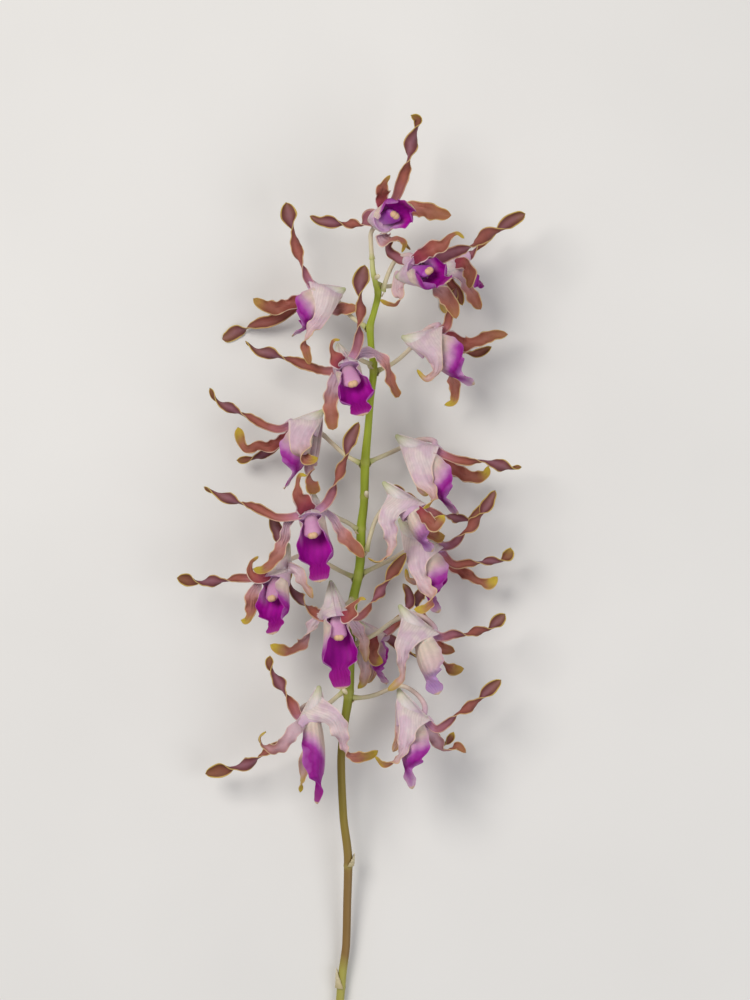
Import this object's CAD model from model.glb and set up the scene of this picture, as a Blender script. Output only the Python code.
"""The looks of a cut flowering stem of an antelope-type dendrobium orchid.

Metres, +Z up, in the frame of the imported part: the stem lies along +Y and the blooms open away
from it. The routes of petals, sepals, stalks and stem are those of the solids, and each fine
piece here stands for the solid of the same name. A petal or a sepal is called a blade.
"""

import math
import random

import bmesh
import bpy
import mathutils
import numpy as np
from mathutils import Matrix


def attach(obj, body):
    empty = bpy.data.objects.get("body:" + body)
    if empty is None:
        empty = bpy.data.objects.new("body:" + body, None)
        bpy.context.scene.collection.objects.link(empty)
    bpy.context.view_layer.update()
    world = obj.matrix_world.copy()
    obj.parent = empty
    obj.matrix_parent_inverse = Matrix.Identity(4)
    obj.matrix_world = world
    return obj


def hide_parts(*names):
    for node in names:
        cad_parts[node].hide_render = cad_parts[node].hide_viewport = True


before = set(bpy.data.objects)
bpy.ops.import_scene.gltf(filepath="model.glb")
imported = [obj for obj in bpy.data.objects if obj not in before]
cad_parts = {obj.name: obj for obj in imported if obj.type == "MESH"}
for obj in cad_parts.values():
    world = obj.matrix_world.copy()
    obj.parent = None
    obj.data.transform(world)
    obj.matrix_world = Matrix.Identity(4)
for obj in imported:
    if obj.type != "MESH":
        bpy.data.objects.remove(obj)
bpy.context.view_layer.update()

MM = 0.001
# The plan is the photo's own: the size of its unit, and its point at the frame's origin
PLAN_UNIT = 0.00045
PLAN_CENTRE = (351.3, 575.7)
SEAT_GAP = 0.0003
SEED = 17
SHEATH_SEED = 1700
# Edges sharper than this many degrees are shaded as edges
SHARP_EDGE = 62.0

# Blades: rows along and columns across, and how thick at the rib and at the margin
BLADE_STEPS = 64
BLADE_COLUMNS = 14
RIB_THICKNESS = 0.00055
MARGIN_THICKNESS = 0.00028
CAD_THICKNESS = 0.0007
# Below this height a blade turns flat, as it lies on the surface
LIE_FLAT_HEIGHT = 0.003
# Each kind of blade: steps of its solid, cup as a share of the half width, height of its edge
# waves and of the crimp on them, wave of its outline, and how blunt it ends
SEPAL = dict(steps=8, cup=0.16, wave=0.0013, crimp=0.0005, outline=0.15, blunt=0.4)
PETAL = dict(steps=10, cup=0.42, wave=0.0, crimp=0.00025, outline=0.05, blunt=0.7)
# The waves' length, how far the edges differ in step, and the most that a narrow blade takes
EDGE_WAVE_LENGTH = 0.0095
EDGE_WAVE_SHIFT = 1.2
WAVE_TO_WIDTH = 0.45
CRIMP_LENGTH = 0.0046
# The outline's waves are longer on one edge by this share
OUTLINE_LENGTH = 0.0072
OUTLINE_UNEVEN = 0.2
# The groove over the rib, and its width as a share of the half blade
RIB_GROOVE = 0.12 * MM
RIB_GROOVE_WIDTH = 0.1
TIP_ROUNDING = 0.0016
TIP_LEAST = 0.002
BASE_ROUNDING = 0.0024
BASE_WIDTH = 0.5
# Dorsal sepals that narrow to a neck, where a broad base would stand past the spur
NECKED_DORSALS = {"bloom_10", "bloom_13"}
NECK_WIDTH = 0.35
NECK_REACH = 0.0050
# Petals with half a turn more, so that their outer face shows at the base
TURNED_PETALS = {("bloom_01", 1), ("bloom_02", 0), ("bloom_04", 0), ("bloom_05", 0),
                 ("bloom_08", 0), ("bloom_11", 0), ("bloom_15", 0), ("bloom_17", 0)}
# A blade's end is golden when it curls: the cosine of its turn from this share of its length
# on, between fully golden and plain, and the little gold of a plain one
CURL_FROM = 0.62
CURL_TURN = (0.3, 0.9)
PLAIN_GOLD = 0.06
# Side sepals with a golden end though they hardly curl, and those that show no pale neck
GOLDEN_SIDES = {("bloom_14", 0), ("bloom_16", 1)}
BROWN_SIDES = {("bloom_01", 0)}

# The web that a side sepal grows from: rows in each of its two halves, and how far off the
# spur's skin. It starts on the ridge, so many degrees up from the flank, and passes over the
# flank between two places, each a share of the spur and a turn
WEB_ROWS = 10
WEB_OUTSET = 0.00035
WEB_RIDGE_TURN = 78.0
WEB_FLANK = ((0.30, -72.0), (1.0, 50.0))
WEB_SMOOTHING = 3
# It leaves towards this row of the free blade
WEB_LEAVE_ROWS = 3
# Rows between which the sepal takes on the colours of its own face
WEB_HIDES = (7.0, 17.0)
# Soft folds that run down the web: depth, how many, and the rows that they fade in and out over
WEB_FOLD = 0.0002
WEB_FOLDS = 2.3
WEB_FOLD_SPAN = (8.0, 20.0, 30.0, 56.0)

# Spur: radius of its tip, and at its mouth the half width, the belly below and the cover above
SPUR_TIP_RADIUS = 0.0011
SPUR_HALF_WIDTH = 0.0058
SPUR_BELLY = 0.0026
SPUR_HEART_COVER = 0.0002
SPUR_RINGS = 22
SPUR_SIDES = 28
# Rings that round its tip and hollow its mouth: millimetres before the tip or the mouth, size
SPUR_TIP_ROWS = ((-0.9, 0.25), (-0.75, 0.6), (-0.4, 0.9))
SPUR_MOUTH_ROWS = ((0.2, 0.86), (0.9, 0.7), (1.3, 0.3))
SPUR_PAINT_END = 1.2
# The throat's own colour: shares of the spur, and of its section from the edge inwards
THROAT_SPAN = (0.9, 0.97)
THROAT_EDGE = (-1.0, -0.8)
# A blade's foot lies between these shares of the spur, and so far out in its section
FOOT_SHARES = (0.45, 0.9)
FOOT_INSET = 0.8
# Tongues behind the feet, melted into the spur
WEDGE_REACH = 0.0060
WEDGE_DEPTH = (0.0020, 0.0007)
WEDGE_NARROWING = 0.6
WEDGE_SINK = 0.0005
BODY_VOXEL = 0.00042
BODY_SMOOTHING = 9
# The points ease towards their neighbours, and then back by almost as much
EASING = (0.5, -0.47)

# Stalk: it thickens towards the bloom over a span, and swells round two places, each with the
# width and the share of its swelling
STALK_RADIUS = 0.00115
STALK_LIFT = 0.12
STALK_END_INSET = 0.0015
STALK_END_DROP = 0.0022
STALK_SINK = 0.0007
STALK_SIZE = 0.88
STALK_THICKENING = 0.3
STALK_THICKENS = (0.55, 1.0)
STALK_SWELLINGS = ((0.0, 0.05, 0.35), (0.5, 0.03, 0.14))
STALK_RINGS = 44
STALK_SIDES = 16

# Column, with an anther cap of two lobes at its end
COLUMN_LENGTH = 0.0090
COLUMN_HALF_WIDTH = 0.0034
COLUMN_INSET = 0.0046
COLUMN_ROOT = 0.0014
COLUMN_FULLNESS = 1.22
# Its end is round from one share on, over a reach, and keeps a little of its size
COLUMN_ROUNDING = (0.75, 0.26, 0.02)
COLUMN_PAINT_END = 0.7
COLUMN_RINGS = 18
COLUMN_SIDES = 24
# Place along the column, width and height as shares, and how far it dips towards the lip
COLUMN_ROWS = (
    (0.00, 0.62, 0.52, 0.0),
    (0.40, 0.92, 0.56, 0.0003),
    (0.85, 1.00, 0.58, 0.0008),
    (1.00, 0.78, 0.34, 0.0011),
)
# The columns of these blooms are violet instead of pink
VIOLET_COLUMNS = {"bloom_01", "bloom_02"}
CAP_HALF_LENGTH = 0.0017
CAP_HALF_WIDTH = 0.0018
CAP_HALF_HEIGHT = 0.0016
CAP_APART = 0.0006
CAP_DROP = 0.0004
CAP_SET_BACK = 0.62
CAP_END_LEAST = 0.01
CAP_RINGS = 13
CAP_SIDES = 16

# Lip: place along it, half width low down and at the edges, height as a share of the heart's
LIP_ROWS = (
    (0.00, 0.0027, 0.0031, 0.78),
    (0.16, 0.0042, 0.0046, 1.05),
    (0.34, 0.0058, 0.0062, 1.16),
    (0.50, 0.0067, 0.0078, 1.00),
    (0.60, 0.0060, 0.0080, 0.60),
    (0.68, 0.0034, 0.0046, 0.20),
    (0.85, 0.0034, 0.0048, -0.03),
    (1.00, 0.0017, 0.0030, 0.03),
)
LIP_STEPS = 52
LIP_COLUMNS = 26
# How steeply the sides rise towards the rims
LIP_RISE_POWER = 2.32
# Where a turned lip starts to turn, and over what share
LIP_TURN_START = 0.58
LIP_TURN_SPAN = 0.2
# The floor: its drop at the foot, its drop further out, and where that is over
LIP_FOOT_DROP = 0.0008
LIP_FLOOR_DROP = 0.0024
LIP_FLOOR_TURN = 1.15
LIP_BASE_SINK = 0.0012
LIP_BASE_SPREAD = 0.0019
LIP_BASE_END = 0.4
LIP_END_ROUNDING = 0.07
LIP_END_LEAST = 0.003
# The rims lean over the column
LIP_CLASP = 0.0010
LIP_CLASP_SPAN = (0.03, 0.15, 0.28, 0.42)
# The side lobes hang to here, a little wider and higher than the solid's, and then step in
LIP_LOBE_END = 0.635
LIP_LOBE_END_WIDTH = 0.03
LIP_LOBE_WIDENING = 0.0008
LIP_LOBE_RISE = 0.2
LIP_LOBE_NARROWING = 0.0006
LIP_LOBE_SPAN = (0.3, 0.45, 0.56, 0.66)
# Lips whose side lobes reach further down, as a share of the lip, and the part that moves
LATE_LOBES = {"bloom_16": 0.06}
LATE_SPAN = ((0.34, 0.6, 0.7, 1.0), (0.0, 1.0, 1.0, 0.0))
# The notch between the side lobes and the front lobe
LIP_NOTCH = 0.2
LIP_NOTCH_PLACE = 0.7
LIP_NOTCH_WIDTH = 0.03
# The frill: its height, its swing to the sides, how many, and where it starts
LIP_FRILL = 0.0004
LIP_FLARE = 0.0003
LIP_FRILLS = 4.5
LIP_FRILL_STARTS = (0.12, 0.35)
# The keels: their height, their places to both sides, their width and their span
LIP_KEEL = 0.0004
LIP_KEELS = (0.0, 0.17, 0.34)
LIP_KEEL_WIDTH = 0.045
LIP_KEEL_SPAN = (0.1, 0.25, 0.78, 0.9)
# Half width of a lip that its veins are drawn for, in millimetres
LIP_VEINS = 6.0
# Lips whose outside is paler, and by how much
PALE_LIPS = {"bloom_10": 0.3, "bloom_15": 0.8}
# Lips whose magenta starts earlier, and earlier still towards one rim, and then stays to the tip
MAGENTA_LEAN = {"bloom_16": (0.05, -0.26)}
MAGENTA_SHARE = 0.59

# Stem route on the plan, with its height and radius in millimetres
STEM_ROUTE = (
    (372.0, 258.0, 33.0, 1.05),
    (372.5, 268.0, 33.0, 1.15),
    (376.0, 285.0, 32.5, 1.25),
    (378.0, 293.0, 32.2, 1.55),
    (374.0, 312.0, 31.8, 1.40),
    (370.0, 328.0, 31.4, 1.70),
    (371.0, 345.0, 31.0, 1.50),
    (373.5, 368.0, 30.5, 1.75),
    (370.5, 399.0, 30.0, 1.60),
    (368.0, 429.0, 29.6, 1.70),
    (365.0, 464.0, 29.2, 2.00),
    (364.0, 502.0, 28.8, 1.85),
    (361.0, 530.0, 28.5, 2.10),
    (360.5, 555.0, 28.2, 2.10),
    (358.0, 577.0, 28.0, 2.05),
    (353.5, 598.0, 27.7, 2.10),
    (350.5, 643.0, 26.8, 2.00),
    (349.0, 690.0, 25.0, 2.15),
    (344.0, 727.0, 22.6, 1.85),
    (341.0, 762.0, 19.8, 1.80),
    (343.0, 815.0, 15.2, 1.80),
    (348.0, 864.0, 11.0, 1.95),
    (347.0, 905.0, 8.0, 1.85),
    (346.0, 945.0, 5.6, 1.82),
    (342.0, 978.0, 3.9, 1.90),
    (339.5, 1008.0, 2.6, 1.85),
    (338.0, 1037.0, 1.86, 1.86),
)
STEM_SEARCH_STEPS = 16
STEM_RINGS = 420
STEM_RING_SIDES = 28
# The rings next to the ends are slimmer, to this share at the very end
STEM_END_RINGS = 2
STEM_END_SIZE = 0.82
# Ridges round the stem: height as a share of the radius, how many, and where they start
STEM_RIDGES = ((0.016, 7, 0.0), (0.009, 12, 1.0))
# Nodes without a stalk; each node swells over so much of the plan, with a crease just below
BARE_NODES = (497.0, 276.0)
NODE_SWELL = 0.10
NODE_SWELL_REACH = 2.4
NODE_CREASE = 0.05
NODE_CREASE_REACH = 0.8
NODE_CREASE_BELOW = 2.0
LEAST_HEIGHT = 0.00002

# Bud stubs, from foot to tip; place along a stub and its radius there as a share
BUD_STUBS = (
    ((375.0, 279.0, 33.0), (379.5, 275.0, 35.0)),
    ((366.5, 497.0, 29.5), (366.5, 491.0, 32.0)),
    ((347.5, 694.0, 26.0), (342.5, 689.0, 27.5)),
)
BUD_STUB_RADIUS = 0.0011
BUD_STUB_ROWS = ((0.0, 0.8), (0.5, 1.0), (0.85, 0.8), (1.0, 0.35))
BUD_STUB_ROUNDING = (0.8, 0.21, 0.03)
BUD_STUB_RINGS = 13
BUD_STUB_SIDES = 16

# The scale below each stalk: it starts under the node, leans out, cups and ends in a point
BRACT_LENGTH = 0.0032
BRACT_WIDTH = 0.0032
BRACT_TAPER = 2.2
BRACT_POINT = 0.00008
BRACT_THICKNESS = 0.00022
BRACT_BELOW = 0.0022
BRACT_SEAT = 0.96
BRACT_LEAN = 0.45
BRACT_STAND = 0.0003
BRACT_FLARE = 0.0005
BRACT_CUP = 0.0006
BRACT_VEINS = 2.0
BRACT_ROWS = 9
BRACT_COLUMNS = 7

# Sheath bracts round the bare stem: foot and tip down the plan, the side the tip is on,
# and how far round the stem the sheath wraps
SHEATHS = (
    ("sheath_upper", 868.0, 855.0, 1.0, 200.0),
    ("sheath_lower", 991.0, 971.0, -1.0, 220.0),
)
SHEATH_CAD_THICKNESS = 0.0006
SHEATH_THICKNESS = 0.00024
SHEATH_TAPER = 0.8
SHEATH_TIP_TURN = 9.0
SHEATH_CLEARANCE = 0.0004
SHEATH_FLARE = 0.0005
SHEATH_TATTER = 0.00010
SHEATH_TATTER_TURNS = 31
SHEATH_TATTER_DRAW = 0.6
SHEATH_LEAST_HEIGHT = 0.0002
SHEATH_VEINS = 5.0
SHEATH_ROWS = 18
SHEATH_COLUMNS = 30

# Stage: floor, lights (name, place, size, power, colour) and camera
FLOOR_SIZE = 6.0
FLOOR_DROP = -0.0002
LIGHTS = (
    ("key", (-0.9, 0.8, 1.7), 1.1, 27.0, (1.0, 0.98, 0.95)),
    ("fill", (1.1, -0.5, 1.5), 1.4, 12.0, (0.95, 0.97, 1.0)),
)
LIGHTS_AIM = (0.0, 0.0, 0.03)
WORLD_COLOUR = (0.92, 0.94, 1.0, 1.0)
WORLD_STRENGTH = 0.36
SENSOR = 36.0
CAMERA_DISTANCE = 4.0
CAMERA_LEVEL = 32.0
PICTURE_TALL = 1000.0
PICTURE_CENTRE = (375.0, 500.0)

# Materials: how far light passes into the flesh, and the scales of the noise in them
FLESH_RADIUS = (1.0, 0.45, 0.5)
FLESH_SCALE = 0.0012
COAT_ROUGHNESS = 0.35
VEIN_NOISE = 160.0
FINE_NOISE = 420.0
BLOTCH_NOISE = 110.0
BLOTCH_SPAN = (0.42, 0.62)

# Blooms from the tip of the stem down. Every route point is across, down and height; a
# blade's points add its width in plan units and its roll in degrees, 0 with the inner face up.
BLOOMS = (
    dict(name="bloom_01", root=258, lip_turn=0, spur=(369, 222, 34), heart=(380, 229, 48),
         lip_tip=(410, 208, 60),
         stalk=((371, 244, 33), (371, 233, 33), (376, 225, 35), (383, 217, 40)),
         dorsal=((384, 210, 42, 10, 0), (382, 200, 44, 13, 0), (383, 192, 48, 14, 0),
           (384, 185, 52, 7, 0), (390, 177, 53, 3, 0)),
         petals=(((389, 212, 42, 7, 0), (396, 198, 42, 9, 0), (403, 178, 42, 12, 10),
           (409, 160, 41, 11, 90), (411, 145, 40, 15, 180), (416, 129, 39, 11, 270),
           (418, 120, 39, 9, 340), (411, 116, 40, 4, 360)),
          ((384, 220, 38, 12, -10), (370, 219, 38, 19, 10), (361, 225, 37, 11, 90),
           (352, 224, 37, 10, 180), (343, 224, 36, 10, 270), (330, 222, 35, 13, 360),
           (318, 221, 34, 9, 390), (310, 216, 34, 4, 400))),
         sides=(((390, 214, 37, 12, 0), (405, 212, 38, 15, 0), (418, 209, 40, 16, 0),
           (430, 212, 41, 16, 0), (443, 215, 41, 12, 0), (451, 216, 41, 3, 0)),
          ((383, 224, 38, 12, 0), (381, 236, 41, 15, 0), (388, 242, 43, 13, 0),
           (398, 239, 44, 8, 0), (404, 244, 44, 6, 0), (402, 253, 44, 3, 0)))),
    dict(name="bloom_02", root=292, lip_turn=0, spur=(397, 277, 36), heart=(412, 262, 50),
         lip_tip=(448, 281, 60),
         stalk=((387, 277, 33), (396, 260, 36), (405, 256, 42), (412, 258, 47)),
         dorsal=((420, 255, 53, 11, 0), (432, 250, 56, 15, 0), (443, 246, 56, 12, 0),
           (450, 238, 57, 5, 0), (457, 235, 58, 4, 0), (463.5, 240, 58, 3, 0)),
         petals=(((426, 263, 48, 9, 0), (440, 259, 47, 12, 0), (456, 252, 46, 12, 10),
           (471, 247.5, 43, 10, 90), (487, 235, 40, 14, 180), (498, 231, 38, 12, 270),
           (508, 223, 36, 14, 350), (518, 217, 35, 12, 370), (525, 214, 35, 4, 380)),
          ((414, 262, 46, 8, 180), (399, 259, 40, 10, 180), (388, 248, 35, 9, 180),
           (392, 239, 34, 7, 180), (402, 241, 34, 6, 180), (410, 250, 36, 4, 180))),
         sides=(((420, 270, 42, 13, 150), (430, 283, 43, 13, 90), (440, 292, 43, 14, 20),
           (449, 301, 42, 16, 0), (454, 311, 42, 11, 0), (456, 319, 42, 3, 0)),
          ((412, 270, 40, 12, 180), (401, 276, 36, 14, 180), (397, 288, 36, 13, 180),
           (401, 298, 37, 8, 220), (396, 304, 37, 6, 280), (388, 304, 37, 5, 320),
           (380, 300, 37, 3, 340)))),
    dict(name="bloom_03", root=285, lip_turn=0, spur=(438, 264, 24), heart=(463, 257, 21),
         lip_tip=(484, 281, 10),
         stalk=((388, 286, 26), (410, 279, 20), (434, 268, 17), (454, 260, 19)),
         dorsal=((462, 259, 28, 11, 0), (468, 266, 32, 14, 0), (470, 276, 33, 15, 0),
           (469, 288, 31, 5, 0)),
         petals=(((461, 260, 21, 8, 180), (468, 256, 21, 9, 180), (476, 249, 21, 8, 90),
           (487, 238, 21, 8, 0), (497, 231, 20, 3, -40)),
          ((447, 269, 12, 8, 0), (451, 281, 7, 9, 0), (459, 292, 7, 10, 0), (463, 304, 8, 3, 0))),
         sides=(((460, 266, 24, 10, 0), (465, 280, 27, 11, 0), (472, 295, 26, 13, 0),
           (477, 303, 25, 11, 0), (481, 309, 24, 3, 0)),
          ((444, 273, 12.5, 8, 180), (444, 283, 6, 11, 180), (446, 293, 0.35, 13, 180),
           (446, 304, 0.35, 12, 180), (445, 312, 0.35, 4, 180)))),
    dict(name="bloom_04", root=328, lip_turn=12, spur=(344, 289, 30), heart=(310, 286, 28),
         lip_tip=(291, 335, 34),
         stalk=((352, 317, 27), (341, 304, 19), (327, 290, 16), (315, 285, 21)),
         dorsal=((312, 290, 22, 10, 0), (297, 300, 18, 12, 0), (281, 306, 18, 13, 0),
           (271, 307, 19, 14, 0), (260, 303, 20, 10, 0), (253, 298, 20, 4, 0)),
         petals=(((313, 290, 28, 7, 0), (309, 281, 28, 8, 0), (302, 264.5, 28, 9, 90),
           (297, 249, 27, 12, 180), (292.5, 229.5, 26, 9, 270), (288.5, 214, 26, 17, 360),
           (286, 202, 26, 3, 390)),
          ((311, 291, 20, 8, 0), (298, 304, 13, 9, 0), (286, 313, 10, 9, 0), (273, 319, 8, 12, 0),
           (260, 322, 6, 12, 20), (245, 326.5, 3.4, 9, 90), (234, 331, 0.35, 14, 180),
           (226, 336, 0.35, 11, 180), (221, 338, 0.35, 4, 180))),
         sides=(((322, 306, 38, 13, 180), (318, 321, 41, 13, 180), (307, 337, 43, 11, 240),
           (305, 346, 44, 10, 330), (308, 357, 44, 8, 360), (310, 365, 44, 3, 360)),
          ((322, 300, 24, 12, 0), (331, 307, 26, 11, 0), (343, 309, 28, 12, 0),
           (352, 308, 29, 11, 0), (357, 306, 29, 3, 0)))),
    dict(name="bloom_05", root=364, lip_turn=0, spur=(338, 345, 36), heart=(347, 364, 54),
         lip_tip=(363, 415, 62),
         stalk=((363, 361, 35), (353, 355, 41), (349, 358, 48)),
         dorsal=((344, 367, 53, 16, 0), (338, 361, 55, 16, 0), (333, 354, 56, 8, 0),
           (331, 347, 57, 4, 0), (335, 341, 57, 3, 0), (340, 341, 57, 3, 0)),
         petals=(((348, 364, 51, 8, 0), (355, 353, 51, 9, 0), (359, 338, 50, 10, 10),
           (359, 326, 49, 9, 90), (361, 311, 48, 11, 180), (360, 297, 47, 10, 270),
           (361, 280, 46, 17, 360), (365, 266, 46, 3, 380)),
          ((345, 366, 50, 8, 0), (332, 371, 44, 9, 0), (318, 369, 36, 10, 0),
           (304, 364, 31, 11, 20), (288, 359, 28, 9, 90), (272, 353.5, 26, 13, 180),
           (255.5, 350, 24, 9, 270), (245, 341, 23, 3, 340))),
         sides=(((350, 362, 47, 11, 0), (361, 354, 45, 10, 0), (374, 354, 42, 11, 0),
           (383, 360, 40, 11, 0), (388, 371, 38, 12, 0), (392, 385, 36, 12, 0),
           (399, 397, 35, 11, 0)),
          ((344, 368, 46, 12, 0), (335, 382, 46, 13, 0), (331, 396, 46, 14, 0),
           (331, 412, 45, 15, 0), (333, 430, 44, 10, 0)))),
    dict(name="bloom_06", root=371, lip_turn=8, spur=(403, 337, 32), heart=(442, 330, 30),
         lip_tip=(475, 383, 34),
         stalk=((388, 366, 25), (402, 356, 19), (412, 346, 18), (420, 335, 20), (430, 327, 23),
           (439, 325, 27)),
         dorsal=((441, 331, 25, 10, 0), (454, 338, 19, 13, 0), (466, 344, 22, 14, 0),
           (480, 340, 23, 13, 0), (494, 335, 24, 12, 0), (508, 334, 24, 3, 0)),
         petals=(((440, 334, 30, 8, 0), (446, 327, 30, 9, 0), (449, 317, 30, 9, 10),
           (451, 306, 29, 8, 90), (454, 296, 28, 8, 180), (456, 288, 27, 3, 200)),
          ((440, 336, 24, 8, 180), (452, 345, 16, 9, 180), (466, 351, 13, 8, 90),
           (480, 352, 12, 9, 0), (492, 346, 12, 3, -30))),
         sides=(((426, 348, 40, 17, 180), (436, 360, 41, 16, 180), (435, 373, 40, 7, 180),
           (426, 379, 39, 6, 180), (417, 370, 38, 3, 180)),
          ((432, 348, 23, 12, 180), (444, 364, 18, 12, 130), (452, 378, 18, 12, 60),
           (455.5, 392, 20, 11, 10), (453, 402, 21, 7, 0), (444.7, 404.7, 21, 3, 0)))),
    dict(name="bloom_07", root=463, lip_turn=10, spur=(322, 411, 32), heart=(290, 424, 30),
         lip_tip=(283, 488, 34),
         stalk=((347, 456, 26), (332, 443, 21), (321, 433, 18), (306, 424, 19), (295, 422, 25)),
         dorsal=((293, 430, 23, 10, 0), (283, 439, 18, 11, 0), (270, 446, 18, 11, 0),
           (256, 446, 19, 10, 0), (246, 449, 20, 8, 0), (240.5, 441, 20, 9, 0),
           (239, 434, 20, 10, 0), (237.5, 427, 20, 3, 0)),
         petals=(((292, 427, 31, 8, 0), (280, 429, 32, 8, 0), (266, 426, 32, 8, 0),
           (254, 419.5, 31, 9, 20), (241, 413, 30, 9, 90), (229.6, 407.4, 29, 11, 180),
           (216.7, 401, 28, 9, 270), (209.7, 388, 28, 3, 350)),
          ((292, 430, 22, 8, 180), (280, 442, 12, 8, 180), (265, 453, 10, 9, 180),
           (252, 458, 9, 9, 90), (243, 460, 9, 8, 20), (236, 460, 9, 3, 0))),
         sides=(((302, 434, 40, 16, 180), (300, 446, 43, 22, 190), (304, 457, 44, 14, 330),
           (311, 460, 44, 10, 360), (318, 458, 43, 3, 360)),
          ((309, 440, 25, 12, 180), (313, 455, 26, 12, 180), (310, 468, 30, 11, 200),
           (311, 479, 36, 11, 330), (313, 488, 40, 15, 360), (315, 494, 41, 13, 360)))),
    dict(name="bloom_08", root=529, lip_turn=0, spur=(312, 492, 32), heart=(309, 514, 50),
         lip_tip=(320, 581, 54),
         stalk=((350, 524, 31), (338, 518, 35), (326, 512, 40), (315, 511, 45)),
         dorsal=((308, 516, 51, 18, 0), (305, 505, 53, 20, 0), (299, 495, 55, 12, 0),
           (298, 484, 56, 5, 0), (301, 475, 56, 4, 0), (307, 476, 56, 3, 0)),
         petals=(((313, 514, 48, 8, 0), (325, 505, 49, 9, 0), (331, 495.5, 49, 10, 10),
           (335.7, 483.6, 48, 9, 90), (340.7, 470.7, 47, 11, 180), (346.4, 457, 46, 9, 270),
           (350, 440.5, 45, 14, 360), (358.7, 422.5, 45, 3, 390)),
          ((304, 516, 48, 8, 0), (291, 517, 47, 8, 0), (277, 517, 45, 8, 0),
           (261, 509.5, 43, 10, 10), (242.5, 503, 40, 9, 90), (229.7, 498.6, 38, 12, 180),
           (214.7, 493, 36, 9, 270), (204, 487, 35, 3, 340))),
         sides=(((316, 514, 43, 10, 0), (329, 514, 42, 7, 0), (337, 525, 41, 10, 0),
           (345, 537, 40, 14, 0), (357, 549, 39, 12, 0), (364, 557.5, 38, 3, 0)),
          ((301, 516, 43, 10, 0), (289, 522, 43, 8, 0), (284, 540, 45, 11, 0),
           (277, 555, 46, 13, 0), (269, 566, 46, 9, 0), (260, 570, 46, 8, 0),
           (253.6, 568.6, 46, 3, 0)))),
    dict(name="bloom_09", root=462, lip_turn=8, spur=(397, 436, 30), heart=(438, 450, 30),
         lip_tip=(459, 513, 34),
         stalk=((385, 455, 24), (400, 448, 18), (411, 442, 19), (425, 439, 23), (435, 442, 27)),
         dorsal=((439, 455, 24, 10, 0), (452, 467, 18, 12, 0), (466, 475, 18, 13, 0),
           (478, 477, 19, 12, 0), (486, 474, 20, 9, 0), (488.5, 466, 20, 3, 0)),
         petals=(((437, 453, 31, 8, 0), (449, 457, 32, 8, 0), (464, 461, 32, 9, 10),
           (482, 461.3, 31, 8, 90), (500.8, 465.3, 30, 13, 180), (511.6, 468, 29, 9, 270),
           (521.5, 467, 29, 4, 340)),
          ((438, 457, 23, 8, 180), (450, 469, 12, 9, 180), (462, 476, 10, 8, 90),
           (474, 478, 10, 9, 0), (484, 474, 10, 3, -30))),
         sides=(((415, 463, 39, 18, 180), (424, 480, 41, 18, 180), (434, 496, 44, 8, 200),
           (431, 503, 49, 6, 240), (423, 508.5, 51, 3, 270)),
          ((418, 464, 22, 12, 180), (421, 480, 19, 9, 180), (420, 490, 19, 5, 180),
           (426, 494, 19, 4, 180), (431, 489, 19, 3, 180)))),
    dict(name="bloom_10", root=551, lip_turn=16, spur=(384, 483, 38), heart=(423, 507, 40),
         lip_tip=(434, 550, 44),
         stalk=((370, 537, 30), (379, 514, 28), (395, 500, 27), (411, 499, 31), (420, 504, 36)),
         dorsal=((419, 508, 44, 9, 0), (427, 519, 50, 12, 0), (434, 525, 51, 14, 0),
           (440, 520, 51, 10, 0), (444, 515, 51, 3, 0)),
         petals=(((420, 509, 40, 8, 0), (432, 512, 38, 8, 0), (445.5, 516.4, 32, 7, 90),
           (458, 518.5, 26, 10, 180), (471, 519, 24, 8, 270), (479, 511, 23, 9, 350),
           (486, 502, 22, 3, 370)),
          ((419, 508, 33, 8, 0), (413, 501, 31, 9, 0), (406, 493, 29, 8, 60),
           (397, 488, 28, 7, 120), (388, 490, 27, 3, 150))),
         sides=(((395, 502, 44, 13, 180), (388, 516, 46, 17, 180), (390, 532, 45, 15, 180),
           (391, 547, 43, 8, 220), (386, 557, 41, 6, 280), (377, 562, 40, 5, 320),
           (368, 558, 40, 3, 340)),
          ((414, 513, 33, 11, 180), (422, 526, 30, 12, 160), (431, 534, 29, 12, 40),
           (438, 537, 29, 12, 0), (445, 536, 29, 4, 0)))),
    dict(name="bloom_11", root=573, lip_turn=25, spur=(400, 520, 22), heart=(443, 550, 24),
         lip_tip=(440, 612, 28),
         stalk=((378, 566, 22), (391, 560, 15), (405, 552, 11), (422, 543, 11), (436, 544, 17)),
         dorsal=((443, 555, 18, 9, 0), (454, 567, 12, 11, 0), (466, 574, 13, 11, 0),
           (481, 582, 15, 7, 0), (490, 584, 16, 12, 0), (498, 577, 16, 3, 0)),
         petals=(((441, 552, 26, 8, 0), (453, 544, 30, 9, 10), (462, 534.5, 33, 9, 90),
           (472, 525, 35, 13, 180), (479.5, 516, 36, 9, 270), (486, 507, 36, 14, 360),
           (491, 498, 36, 9, 380), (495, 490.5, 36, 3, 390)),
          ((442, 556, 24, 8, 0), (456, 565, 24, 8, 0), (468, 563, 24, 9, 20), (480, 563, 24, 8, 90),
           (490, 561, 23, 9, 180), (501.6, 560.8, 22, 8, 270), (508, 556, 22, 12, 350),
           (511, 548, 22, 3, 370))),
         sides=(((414, 552, 32, 14, 180), (418, 571, 35, 15, 180), (426, 587, 37, 14, 200),
           (433, 599, 39, 9, 270), (429, 605, 40, 7, 330), (423, 609, 40, 9, 360),
           (414, 609, 40, 3, 360)),
          ((420, 556, 15, 12, 180), (423, 571, 13, 10, 180), (417, 582, 13, 6, 180),
           (409, 580, 13, 5, 180), (406, 569, 13, 3, 180)))),
    dict(name="bloom_12", root=578, lip_turn=0, spur=(288, 545, 24), heart=(268, 577, 40),
         lip_tip=(272, 633, 47),
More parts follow.
